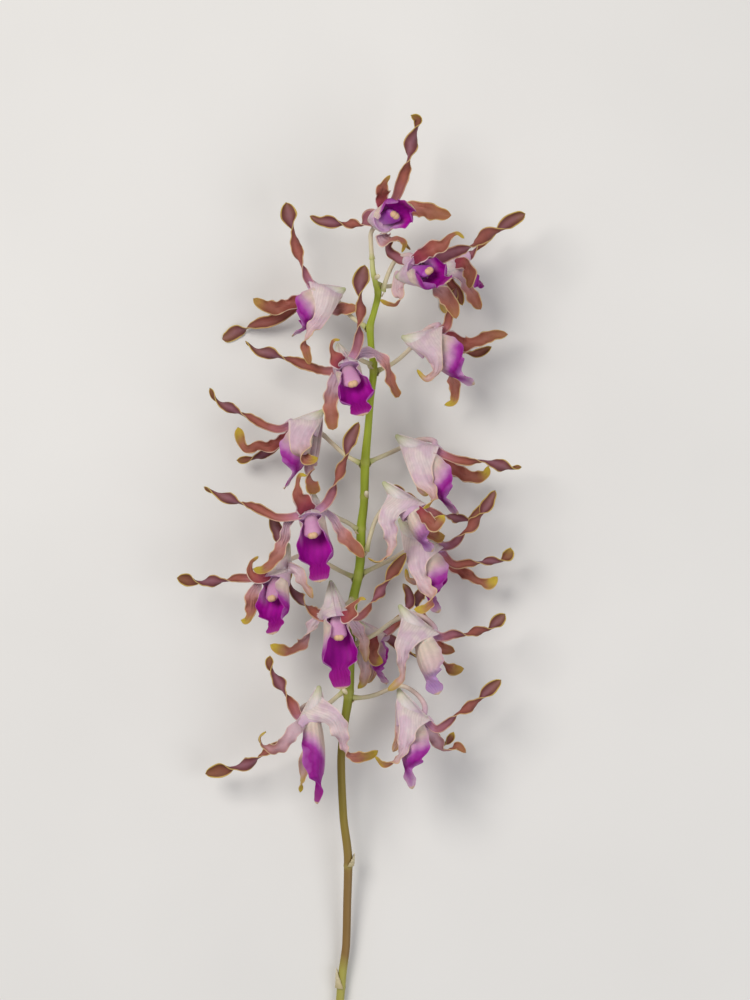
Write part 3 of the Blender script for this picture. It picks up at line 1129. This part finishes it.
def add_stalk(shell, bloom, axes, stem, slot, tint):
    """The flower stalk: a swollen joint at the stem, and thicker towards the bloom."""
    end = axes.point(axes.mouth - STALK_END_INSET, axes.rise - STALK_END_DROP)
    route = [stalk_foot(bloom, stem), *(place(*point) for point in bloom["stalk"]), end]
    samples = Curve([(*point, 0.0) for point in route], rounded=True).even(STALK_RINGS)
    share = np.linspace(0.0, 1.0, STALK_RINGS + 1)
    size = STALK_SIZE + STALK_THICKENING * smooth_share(share, *STALK_THICKENS)
    for spot, width, swelling in STALK_SWELLINGS:
        size = size + swelling * bell(share, spot, width)
    rings = round_rings(samples[:, :3], STALK_RADIUS * size, STALK_SIDES)
    shell.add_tube(rings, slot, along=share, tint=tint)


def lip_grid(axes, turn, late, draw):
    """Places on the lip, with the share along it and the way across it, rim to rim."""
    rows = np.array(LIP_ROWS)
    knots = rows[:, 0] + late * np.interp(rows[:, 0], *LATE_SPAN)
    share = np.linspace(0.0, 1.0, LIP_STEPS + 1)
    values = between_rows(knots, rows[:, 1:], steady_slopes(knots, rows[:, 1:]), share)
    low, edge, height = values.T[:, :, None]
    s = share[:, None]
    q = np.linspace(-1.0, 1.0, LIP_COLUMNS + 1)[None, :]
    reach = np.abs(q)

    spread = LIP_BASE_SPREAD * (1 - smooth_share(s, 0.0, LIP_BASE_END))
    notch = 1 - LIP_NOTCH * bell(s, LIP_NOTCH_PLACE + late, LIP_NOTCH_WIDTH)
    clasp = smooth_span(s, *LIP_CLASP_SPAN)
    lobe_end = bell(s, LIP_LOBE_END + late, LIP_LOBE_END_WIDTH)
    slimmer = LIP_LOBE_NARROWING * smooth_span(s, *LIP_LOBE_SPAN)
    low = (low + spread) * notch
    edge = (edge + spread * (1 - clasp) - LIP_CLASP * clasp + LIP_LOBE_WIDENING * lobe_end
            - slimmer) * notch
    end = np.clip((1.0 - s) / LIP_END_ROUNDING, 0.0, 1.0)
    end = np.sqrt(np.maximum(1 - (1 - end) ** 2, LIP_END_LEAST))
    side = np.sign(q) * (reach * (4 * low - edge) + reach ** 2 * (2 * edge - 4 * low)) * end

    phase = 2 * math.pi * s * LIP_FRILLS + edge_phases(q, draw)
    lobes = smooth_share(s, *LIP_FRILL_STARTS) * reach ** 4
    keels = sum(bell(reach, place_across, LIP_KEEL_WIDTH) for place_across in LIP_KEELS)
    up = ((height + LIP_LOBE_RISE * lobe_end) * axes.rise * reach ** LIP_RISE_POWER
          + LIP_FRILL * lobes * np.sin(phase) + LIP_KEEL * keels * smooth_span(s, *LIP_KEEL_SPAN))
    side = side + LIP_FLARE * lobes * np.sign(q) * np.cos(phase)

    start = axes.mouth + SEAT_GAP + CAD_THICKNESS / 2 - LIP_BASE_SINK
    along = start + (axes.length - start) * s + 0 * q
    floor = -LIP_FOOT_DROP - LIP_FLOOR_DROP * np.sin(math.pi * np.minimum(s * LIP_FLOOR_TURN, 1.0))
    angle = math.radians(turn) * np.clip((s - LIP_TURN_START - late) / LIP_TURN_SPAN, 0.0, 1.0)
    raised = floor + side * np.sin(angle) + up * np.cos(angle)
    aside = side * np.cos(angle) - up * np.sin(angle)
    return axes.point(along, raised, aside), s + 0 * q, q + 0 * s


def add_lip(bloom, axes, draw, material):
    name = bloom["name"]
    rows, share, q = lip_grid(axes, bloom["lip_turn"], LATE_LOBES.get(name, 0.0), draw)
    rows[..., 2] = np.maximum(rows[..., 2], MARGIN_THICKNESS)
    if name in MAGENTA_LEAN:
        earlier, lean = MAGENTA_LEAN[name]
        leaning = share + 4 * share * (1 - share) * (earlier + lean * q)
        share = np.minimum(leaning, np.maximum(MAGENTA_SHARE, 2 * share - 1))
    shell = Shell()
    shell.add_sheet(rows, grid_normals(rows), leaf_thickness(q), 0, inner=(0.0, 1.0), along=share,
                    margin=np.abs(q), vein=q * LIP_VEINS, tint=draw.uniform(-1.0, 1.0),
                    gold=PALE_LIPS.get(name, 0.0))
    stand_for(shell.make(name + "_lip_fine", [material]), [name + "_lip"])


def add_column(bloom, axes, draw, material):
    """The column with its two wings, and the two-lobed anther cap at its end."""
    rows = np.array(COLUMN_ROWS)
    share = np.linspace(0.0, 1.0, COLUMN_RINGS + 1)
    width, height, drop = (np.interp(share, rows[:, 0], rows[:, k]) for k in (1, 2, 3))
    along = axes.mouth + SEAT_GAP - COLUMN_ROOT + (COLUMN_LENGTH + COLUMN_ROOT) * share
    size = COLUMN_HALF_WIDTH * rounded_end(share, *COLUMN_ROUNDING)
    rings = axes.rings(axes.point(along, axes.rise - COLUMN_INSET - drop),
                       COLUMN_FULLNESS * width * size, height * size, COLUMN_SIDES)
    shell = Shell()
    tint = draw.uniform(-1.0, 1.0)
    violet = float(bloom["name"] in VIOLET_COLUMNS)
    shell.add_tube(rings, 0, along=share * COLUMN_PAINT_END, tint=tint, gold=violet)
    t = np.linspace(-1.0, 1.0, CAP_RINGS)
    size = np.sqrt(np.clip(1 - t ** 2, CAP_END_LEAST, 1.0))
    cap_along = along[-1] + CAP_HALF_LENGTH * (t - CAP_SET_BACK)
    for hand in (-1.0, 1.0):
        cap = axes.point(cap_along, axes.rise - COLUMN_INSET - CAP_DROP, hand * CAP_APART)
        rings = axes.rings(cap, CAP_HALF_WIDTH * size, CAP_HALF_HEIGHT * size, CAP_SIDES)
        shell.add_tube(rings, 0, along=1.0, tint=tint)
    name = bloom["name"] + "_column"
    stand_for(shell.make(name + "_fine", [material]), [name])


def add_tepals(bloom, axes, stem, draw, materials):
    """Stalk, spur, sepals and petals of a bloom, grown together."""
    name = bloom["name"]
    dorsal = Blade(bloom["dorsal"], axes, draw, **SEPAL, necked=name in NECKED_DORSALS)
    sides = [Blade(route, axes, draw, **SEPAL, web=True) for route in bloom["sides"]]
    petals = [Blade(route, axes, draw, **PETAL) for route in bloom["petals"]]
    shell = Shell()
    for number, petal in enumerate(petals):
        petal.add_to(shell, 0, (0.0, 1.0) if (name, number) in TURNED_PETALS else (1.0, 0.0))
    dorsal.add_to(shell, 1)
    for number, side in enumerate(sides):
        if (name, number) in BROWN_SIDES:
            side.along = (1 + side.along) / 2
        if (name, number) in GOLDEN_SIDES:
            side.gold = 1.0
        side.add_to(shell, 2)
    tint = draw.uniform(-1.0, 1.0)
    add_body(shell, axes, [dorsal, *petals], 3, tint)
    add_stalk(shell, bloom, axes, stem, 4, tint)
    stand_for(shell.make(name + "_tepals_fine", materials), [name + "_tepals"])


def add_bract(shell, centre, out, upward, slot):
    """A small cupped scale that stands off the stem and ends in a point."""
    t = np.linspace(0.0, 1.0, BRACT_ROWS)[:, None]
    u = np.linspace(-1.0, 1.0, BRACT_COLUMNS)[None, :]
    half = BRACT_WIDTH / 2 * (1 - t ** BRACT_TAPER) + BRACT_POINT
    forward = BRACT_LENGTH * t + 0 * u
    stand = BRACT_STAND + BRACT_FLARE * t - BRACT_CUP * u ** 2 * (1 - t)
    rows = (centre + upward * forward[..., None] + out * stand[..., None]
            + np.cross(upward, out) * (half * u)[..., None])
    shell.add_sheet(rows, grid_normals(rows), BRACT_THICKNESS, slot, along=t, margin=np.abs(u),
                    vein=u * BRACT_VEINS)


def add_bud_stub(shell, foot, tip, slot):
    start, end = place(*foot), place(*tip)
    t = np.linspace(0.0, 1.0, BUD_STUB_RINGS)
    size = np.interp(t, *np.array(BUD_STUB_ROWS).T)
    size = size * rounded_end(t, *BUD_STUB_ROUNDING)
    rings = round_rings(start + (end - start) * t[:, None], BUD_STUB_RADIUS * size, BUD_STUB_SIDES)
    shell.add_tube(rings, slot, along=t)


def add_stem(stem, materials):
    """The stem with its rings at the nodes, bud stubs, and a small scale at each stalk."""
    samples = stem.even(STEM_RINGS)
    places, radii = samples[:, :3], samples[:, 3]
    down = PLAN_CENTRE[1] - places[:, 1] / PLAN_UNIT
    share = (down - STEM_ROUTE[0][1]) / (STEM_ROUTE[-1][1] - STEM_ROUTE[0][1])
    nodes = [*(bloom["root"] for bloom in BLOOMS), *(sheath[1] for sheath in SHEATHS), *BARE_NODES]
    swell = np.minimum(sum(bell(down, node, NODE_SWELL_REACH) for node in nodes), 1.0)
    crease = np.minimum(sum(bell(down - NODE_CREASE_BELOW, node, NODE_CREASE_REACH)
                            for node in nodes), 1.0)
    number = np.arange(len(radii))
    ease = np.clip(np.minimum(number, number[::-1]) / STEM_END_RINGS, 0.0, 1.0)
    radii = radii * (1 + NODE_SWELL * swell - NODE_CREASE * crease)
    radii = radii * (STEM_END_SIZE + (1 - STEM_END_SIZE) * ease)
    rings = round_rings(places, radii, STEM_RING_SIDES)
    angles = np.linspace(0.0, 2 * math.pi, STEM_RING_SIDES, endpoint=False)
    ridges = sum(tall * np.cos(count * angles + start) for tall, count, start in STEM_RIDGES)
    rings = places[:, None] + (rings - places[:, None]) * (1 + ridges)[None, :, None]
    rings[..., 2] = np.maximum(rings[..., 2], LEAST_HEIGHT)
    shell = Shell()
    shell.add_tube(rings, 0, along=share, margin=swell)
    for foot, tip in BUD_STUBS:
        add_bud_stub(shell, foot, tip, 1)
    for bloom in BLOOMS[1:]:
        root, radius, tangent, _, out = leaving(stem, bloom)
        seat = root - tangent * BRACT_BELOW + out * radius * BRACT_SEAT
        add_bract(shell, seat, out, unit(tangent + out * BRACT_LEAN), 1)
    stand_for(shell.make("stem_fine", materials), ["stem"])


def add_sheath(stem, sheath, draw, material):
    """A papery sheath that wraps the stem at its foot and ends in a point on one side."""
    name, foot_down, tip_down, hand, wrap = sheath
    _, radius, tangent = point_on_stem(stem, foot_down)
    side = unit(np.cross(tangent, (0.0, 0.0, 1.0))) * hand
    front = np.cross(side, tangent)
    front = front * math.copysign(1.0, front[2])
    shares = np.linspace(0.0, 1.0, SHEATH_ROWS + 1)
    u = np.linspace(-1.0, 1.0, SHEATH_COLUMNS + 1)
    rows = []
    for share in shares:
        centre, _, _ = point_on_stem(stem, foot_down - (foot_down - tip_down) * share)
        spread = math.radians(wrap / 2 * (1 - share) ** SHEATH_TAPER + SHEATH_TIP_TURN * share)
        turn = spread * u[:, None]
        tatter = SHEATH_TATTER * math.sin(SHEATH_TATTER_TURNS * share
                                          + draw.uniform(0.0, SHEATH_TATTER_DRAW))
        reach = radius + SHEATH_CLEARANCE + SHEATH_CAD_THICKNESS / 2 + SHEATH_FLARE * share + tatter
        rows.append(centre + (side * np.cos(turn) + front * np.sin(turn)) * reach)
    rows = np.array(rows)
    rows[..., 2] = np.maximum(rows[..., 2], SHEATH_LEAST_HEIGHT)
    shell = Shell()
    shell.add_sheet(rows, grid_normals(rows), SHEATH_THICKNESS, 0, along=shares[:, None],
                    margin=np.abs(u), vein=u * SHEATH_VEINS)
    stand_for(shell.make(name + "_fine", [material]), [name])


def shade(code):
    """A linear colour from its six-figure code."""
    parts = [int(code[k:k + 2], 16) / 255 for k in (0, 2, 4)]
    linear = [p / 12.92 if p <= 0.04045 else ((p + 0.055) / 1.055) ** 2.4 for p in parts]
    return (*linear, 1.0)


class Finish:
    """Short ways to wire one procedural material."""

    def __init__(self, name, roughness, specular=0.35, sheen=0.0, coat=0.0, subsurface=0.0):
        self.material = bpy.data.materials.new(name)
        self.material.use_nodes = True
        self.nodes = self.material.node_tree.nodes
        self.links = self.material.node_tree.links
        self.shader = self.nodes["Principled BSDF"]
        self.constant("Roughness", roughness)
        self.constant("Specular IOR Level", specular)
        self.constant("Sheen Weight", sheen)
        self.constant("Coat Weight", coat)
        self.constant("Coat Roughness", COAT_ROUGHNESS)
        if subsurface:
            self.constant("Subsurface Weight", subsurface)
            self.constant("Subsurface Radius", FLESH_RADIUS)
            self.constant("Subsurface Scale", FLESH_SCALE)

    def constant(self, name, value):
        self.shader.inputs[name].default_value = value

    def socket(self, target, source):
        if isinstance(source, bpy.types.NodeSocket):
            self.links.new(source, target)
        else:
            target.default_value = source

    def painted(self, name):
        node = self.nodes.new("ShaderNodeAttribute")
        node.attribute_name = name
        return node.outputs["Fac"]

    def math(self, operation, first, second=0.0, clamp=False):
        node = self.nodes.new("ShaderNodeMath")
        node.operation = operation
        node.use_clamp = clamp
        self.socket(node.inputs[0], first)
        self.socket(node.inputs[1], second)
        return node.outputs[0]

    def times(self, first, second):
        return self.math("MULTIPLY", first, second)

    def plus(self, first, second):
        return self.math("ADD", first, second)

    def window(self, source, low, high, out_low=0.0, out_high=1.0):
        node = self.nodes.new("ShaderNodeMapRange")
        node.interpolation_type = "SMOOTHSTEP"
        for index, value in enumerate((source, low, high, out_low, out_high)):
            self.socket(node.inputs[index], value)
        return node.outputs[0]

    def ramp(self, source, stops):
        node = self.nodes.new("ShaderNodeValToRGB")
        self.socket(node.inputs[0], source)
        elements = node.color_ramp.elements
        while len(elements) < len(stops):
            elements.new(0.5)
        for element, (spot, code) in zip(elements, stops):
            element.position = spot
            element.color = shade(code)
        return node.outputs[0]

    def mix(self, share, first, second):
        """Two colours mixed; the second may be a six-figure code."""
        node = self.nodes.new("ShaderNodeMix")
        node.data_type = "RGBA"
        self.socket(node.inputs[0], share)
        self.socket(node.inputs[6], first)
        self.socket(node.inputs[7], shade(second) if isinstance(second, str) else second)
        return node.outputs[2]

    def noise(self, scale, detail=2.0, stretch=None):
        node = self.nodes.new("ShaderNodeTexNoise")
        node.inputs["Scale"].default_value = scale
        node.inputs["Detail"].default_value = detail
        spot = self.nodes.new("ShaderNodeTexCoord").outputs["Object"]
        if stretch:
            mapping = self.nodes.new("ShaderNodeMapping")
            mapping.inputs["Scale"].default_value = stretch
            self.links.new(spot, mapping.inputs["Vector"])
            spot = mapping.outputs["Vector"]
        self.links.new(spot, node.inputs["Vector"])
        return node.outputs["Fac"]

    def wander(self, scale, reach):
        """Noise that goes as far below nothing as above it."""
        return self.times(self.math("SUBTRACT", self.noise(scale), 0.5), reach)

    def blotches(self, low, high, low_share, high_share):
        """Broad soft spots, with their share at two places along and beyond them."""
        return self.times(self.window(self.noise(BLOTCH_NOISE), *BLOTCH_SPAN),
                          self.window(self.painted("along"), low, high, low_share, high_share))

    def stripes(self, per_unit, wander):
        """Lines along a blade, a few to each millimetre of its width, that wander a little."""
        shifted = self.plus(self.times(self.painted("vein"), per_unit),
                            self.times(self.noise(VEIN_NOISE), wander))
        return self.math("MULTIPLY_ADD", self.math("SINE", shifted), 0.5)

    def mottled(self, colour, base, *patterns):
        """The colour made lighter or darker by a base and by shares of patterns."""
        value = base
        for pattern, share in patterns:
            value = self.plus(self.times(pattern, share), value)
        node = self.nodes.new("ShaderNodeHueSaturation")
        self.socket(node.inputs["Value"], value)
        self.socket(node.inputs["Color"], colour)
        return node.outputs[0]

    def done(self, colour, height=None, strength=0.3, distance=0.0002):
        self.socket(self.shader.inputs["Base Color"], colour)
        if height is not None:
            bump = self.nodes.new("ShaderNodeBump")
            bump.inputs["Strength"].default_value = strength
            bump.inputs["Distance"].default_value = distance
            self.links.new(height, bump.inputs["Height"])
            self.links.new(bump.outputs["Normal"], self.shader.inputs["Normal"])
        return self.material


def blade_finish(name, inner, outer, margin, centre, margin_from, gold_from, cloud=0.0,
                 relief=0.15, dusk=0.0):
    """Two faces of their own colours, a pale margin, a gold tip, veins and mottling.

    The ramps run along the blade. The centre's colour glows on the outer face, clouds and
    streaks lie near the base, and dusk darkens the way to the margin.
    """
    f = Finish(name, roughness=0.55, specular=0.2, sheen=0.03, subsurface=0.12)
    along = f.painted("along")
    moved = f.plus(along, f.wander(220.0, 0.16))
    outside = f.ramp(moved, outer)
    if cloud:
        outside = f.mix(f.blotches(0.5, 0.75, cloud, 0.0), outside, "be96b2")
        streaks = f.times(f.window(f.stripes(5.0, 9.0), 0.55, 1.0),
                          f.window(along, 0.5, 0.8, 0.3, 0.0))
        outside = f.mix(streaks, outside, "b9a0a6")
    faces = f.mix(f.painted("inner"), outside, f.ramp(moved, inner))
    past_base = f.window(along, 0.1, 0.4)
    glow = f.times(f.window(f.painted("margin"), 0.0, 0.75, 0.26, 0.0), past_base)
    glow = f.times(glow, f.math("SUBTRACT", 1.15, f.painted("inner"), clamp=True))
    faces = f.mix(glow, faces, centre)
    if dusk:
        share = f.times(f.window(f.painted("margin"), 0.3, 0.8, 0.0, dusk), past_base)
        faces = f.mix(share, faces, "54281c")
    gold = f.times(f.window(moved, gold_from, gold_from + 0.2), f.painted("gold"))
    faces = f.mix(gold, faces, "b49c30")
    edge = f.plus(f.painted("margin"), f.wander(300.0, 0.12))
    rim = f.window(edge, margin_from, margin_from + 0.1)
    veins = f.stripes(2.3, 4.0)
    colour = f.mottled(f.mix(rim, faces, f.ramp(along, margin)), 0.84, (veins, 0.04),
                       (f.noise(FINE_NOISE, 4.0), 0.3), (f.painted("tint"), 0.05))
    return f.done(colour, veins, strength=relief, distance=0.0003)


def petal_finish():
    return blade_finish(
        "petal_finish",
        inner=((0.0, "b884a6"), (0.14, "a46468"), (0.34, "975343"), (0.66, "844940"),
               (1.0, "7d5033")),
        outer=((0.0, "bc8eb0"), (0.16, "985c68"), (0.38, "82454a"), (0.72, "744046"),
               (1.0, "7a4c34")),
        margin=((0.0, "c8a2a8"), (0.18, "bc9282"), (0.4, "bc986c"), (0.8, "b89a56"),
                (1.0, "c0a64e")),
        centre="a47888", margin_from=0.82, gold_from=0.88, dusk=0.42)


def dorsal_finish():
    """The sepal over the heart: dark red at its base."""
    return blade_finish(
        "dorsal_finish",
        inner=((0.0, "842c44"), (0.2, "923a46"), (0.42, "9a5044"), (0.7, "985a46"),
               (1.0, "905a3a")),
        outer=((0.0, "cfb9bd"), (0.3, "c2a0a6"), (0.6, "ac7474"), (0.86, "a06c58"),
               (1.0, "a07c48")),
        margin=((0.0, "ceb6be"), (0.4, "ceb0a2"), (0.75, "c6a676"), (1.0, "bc9e54")),
        centre="c0a0ac", margin_from=0.84, gold_from=0.78, dusk=0.2)


def side_finish():
    """The sepals at the sides: their necks are pale on both faces."""
    return blade_finish(
        "side_finish",
        inner=((0.0, "a878a0"), (0.3, "b294a6"), (0.48, "b6929a"), (0.58, "b07c7a"),
               (0.68, "a66a5c"),
               (0.82, "9a5c49"), (1.0, "90583a")),
        outer=((0.0, "d5c7bc"), (0.35, "d0bebc"), (0.6, "c8a8a8"), (0.8, "ba8f80"),
               (1.0, "ac8650")),
        margin=((0.0, "d6c4ca"), (0.4, "d6bcb2"), (0.75, "cbaa80"), (1.0, "bc9e54")),
        centre="d0bcc0", margin_from=0.84, gold_from=0.8, cloud=0.5, relief=0.24)


def body_finish():
    """The spur: whitish with faint green veins, greener at its tip and pinker at its mouth."""
    f = Finish("body_finish", roughness=0.55, specular=0.25, sheen=0.03, subsurface=0.15)
    skin = f.ramp(f.plus(f.painted("along"), f.wander(180.0, 0.2)), (
        (0.0, "b4b68c"), (0.16, "cbc6b0"), (0.4, "d4c9c4"), (0.72, "d0bcbe"), (1.0, "c8a6ba")))
    veins = f.window(f.stripes(9.0, 5.0), 0.62, 1.0)
    skin = f.mix(f.times(veins, 0.12), skin, "b4ac98")
    skin = f.mix(f.blotches(0.3, 0.7, 0.0, 0.6), skin, "be96b2")
    colour = f.mix(f.painted("inner"), skin, "c79cc2")
    return f.done(f.mottled(colour, 0.88, (f.noise(FINE_NOISE, 4.0), 0.24)),
                  f.math("SUBTRACT", 1.0, veins), strength=0.35)


def stalk_finish():
    f = Finish("stalk_finish", roughness=0.5, specular=0.25, subsurface=0.1)
    skin = f.ramp(f.painted("along"), (
        (0.0, "a9ab66"), (0.1, "c6bc98"), (0.5, "cdbfa8"), (0.8, "caaeae"), (1.0, "c09ab2")))
    skin = f.mottled(skin, 0.9, (f.noise(600.0, 3.0), 0.2), (f.painted("tint"), 0.05))
    return f.done(skin, f.noise(1500.0), strength=0.25)


def lip_finish():
    """Beige to lavender cheeks, deep magenta inside and towards the front, a cream tip."""
    f = Finish("lip_finish", roughness=0.55, specular=0.14, subsurface=0.25)
    along, margin = f.painted("along"), f.painted("margin")
    wander = f.wander(150.0, 0.22)
    moved = f.plus(along, wander)
    outer = f.ramp(f.plus(along, f.plus(f.times(margin, 0.16), wander)), (
        (0.0, "d0c0ae"), (0.34, "c9b2a6"), (0.5, "b988ac"), (0.61, "9a3492"), (0.7, "880c7c"),
        (0.8, "a458a2"), (1.0, "c09cb6")))
    pale = f.ramp(moved, (
        (0.0, "d0c0ae"), (0.5, "ccb8ac"), (0.66, "b998b8"), (0.8, "a884b4"), (1.0, "b08cb8")))
    outer = f.mix(f.painted("gold"), outer, pale)
    inner = f.ramp(moved, (
        (0.0, "c8a0c4"), (0.1, "bc6cb4"), (0.2, "b02ea6"), (0.3, "ae189e"), (0.45, "a20e94"),
        (0.62, "8c087e"), (0.84, "8c0e76"), (1.0, "983484")))
    cheek = f.times(f.window(margin, 0.5, 0.85), f.window(along, 0.26, 0.42, 1.0, 0.0))
    inner = f.mix(f.times(cheek, 0.7), inner, "cc9cc8")
    faces = f.mix(f.painted("inner"), outer, inner)
    rim = f.times(f.window(margin, 0.93, 1.0), f.window(along, 0.5, 0.62, 0.2, 0.4))
    faces = f.mix(rim, faces, "b062a8")
    tip = f.window(f.plus(along, f.times(wander, 0.12)), 0.95, 0.985)
    faces = f.mix(f.times(tip, 0.85), faces, "ccb48a")
    veins = f.stripes(5.0, 2.4)
    colour = f.mottled(faces, 0.86, (veins, 0.12), (f.noise(800.0, 3.0), 0.2))
    return f.done(colour, f.plus(veins, f.times(f.noise(2400.0), 0.5)))


def column_finish():
    """Pink, or violet where the painted gold says so, with a pale orange cap."""
    f = Finish("column_finish", roughness=0.45, specular=0.3, subsurface=0.1)
    along = f.painted("along")
    pink = f.ramp(along, ((0.0, "c29aaa"), (0.25, "c48cb0"), (0.62, "c890b2"), (0.9, "d8b088")))
    violet = f.ramp(along, ((0.0, "b47cb4"), (0.3, "a850ae"), (0.55, "9e34a4"), (0.7, "b06cae")))
    skin = f.mottled(f.mix(f.painted("gold"), pink, violet), 0.91, (f.noise(900.0, 3.0), 0.18))
    return f.done(skin, f.noise(2200.0), strength=0.2)


def stem_finish():
    """Yellow-green above, olive to brownish mauve on the bare foot, and green at the cut."""
    f = Finish("stem_finish", roughness=0.5, specular=0.22, coat=0.04)
    skin = f.ramp(f.plus(f.painted("along"), f.wander(60.0, 0.05)), (
        (0.0, "c3c08c"), (0.03, "a5b03a"), (0.11, "96a42c"), (0.25, "9aa530"), (0.4, "88982a"),
        (0.56, "80862a"), (0.64, "84722e"), (0.72, "927f34"), (0.8, "86693c"), (0.9, "846638"),
        (0.93, "a39c4a"), (1.0, "a8a050")))
    skin = f.mix(f.times(f.painted("margin"), 0.35), skin, "b3ad62")
    streaks = f.noise(500.0, 3.0, stretch=(1.0, 0.12, 1.0))
    return f.done(f.mottled(skin, 0.84, (streaks, 0.3)),
                  f.plus(streaks, f.times(f.noise(2200.0), 0.3)), strength=0.35)


def straw_finish():
    """Papery straw with fine lines along it, browner towards the edges."""
    f = Finish("straw_finish", roughness=0.7, specular=0.3, sheen=0.1)
    skin = f.ramp(f.painted("along"), ((0.0, "b5a67c"), (0.4, "cdbf98"), (1.0, "e0d6b8")))
    skin = f.mix(f.window(f.painted("margin"), 0.8, 1.0, 0.0, 0.4), skin, "a98f64")
    lines = f.stripes(9.0, 1.5)
    return f.done(f.mottled(skin, 0.83, (lines, 0.14), (f.noise(700.0, 3.0), 0.2)), lines,
                  strength=0.4)


def floor_finish():
    f = Finish("floor_finish", roughness=0.8, specular=0.2)
    return f.done(f.ramp(f.noise(6.0, 3.0), ((0.3, "dedbd6"), (0.7, "e3e0db"))))


def build_floor():
    half = FLOOR_SIZE / 2
    corners = [(-half, -half), (half, -half), (half, half), (-half, half)]
    mesh = bpy.data.meshes.new("floor")
    mesh.from_pydata([(x, y, FLOOR_DROP) for x, y in corners], [], [(0, 1, 2, 3)])
    mesh.materials.append(floor_finish())
    floor = bpy.data.objects.new("floor", mesh)
    bpy.context.scene.collection.objects.link(floor)


def add_light(name, spot, size, power, colour):
    light = bpy.data.lights.new(name, "AREA")
    light.shape = "DISK"
    light.size = size
    light.energy = power
    light.color = colour
    lamp = bpy.data.objects.new(name, light)
    lamp.location = spot
    bpy.context.scene.collection.objects.link(lamp)
    direction = np.array(LIGHTS_AIM) - np.array(spot)
    lamp.rotation_euler = mathutils.Vector(direction).to_track_quat("-Z", "Y").to_euler()


def build_lights():
    for light in LIGHTS:
        add_light(*light)
    world = bpy.data.worlds.new("studio")
    world.use_nodes = True
    background = world.node_tree.nodes["Background"]
    background.inputs["Color"].default_value = WORLD_COLOUR
    background.inputs["Strength"].default_value = WORLD_STRENGTH
    bpy.context.scene.world = world
    bpy.context.scene.view_settings.view_transform = "Standard"


def build_camera():
    """Straight down, the stem upright in the picture, as tall a view as the photo's."""
    camera = bpy.data.cameras.new("camera")
    camera.sensor_fit = "VERTICAL"
    camera.sensor_height = SENSOR
    camera.lens = SENSOR * CAMERA_DISTANCE / (PICTURE_TALL * PLAN_UNIT)
    eye = bpy.data.objects.new("camera", camera)
    middle = place(*PICTURE_CENTRE, CAMERA_LEVEL)
    eye.location = (middle[0], middle[1], middle[2] + CAMERA_DISTANCE)
    bpy.context.scene.collection.objects.link(eye)
    bpy.context.scene.camera = eye


def main():
    tepal_materials = [petal_finish(), dorsal_finish(), side_finish(), body_finish(),
                       stalk_finish()]
    straw, lip, column = straw_finish(), lip_finish(), column_finish()
    stem = stem_curve()
    add_stem(stem, [stem_finish(), straw])
    for number, sheath in enumerate(SHEATHS):
        add_sheath(stem, sheath, random.Random(SHEATH_SEED + number), straw)
    for number, bloom in enumerate(BLOOMS):
        draw = random.Random(SEED + number)
        axes = BloomAxes(bloom)
        add_tepals(bloom, axes, stem, draw, tepal_materials)
        add_lip(bloom, axes, draw, lip)
        add_column(bloom, axes, draw, column)
    build_floor()
    build_lights()
    build_camera()


main()
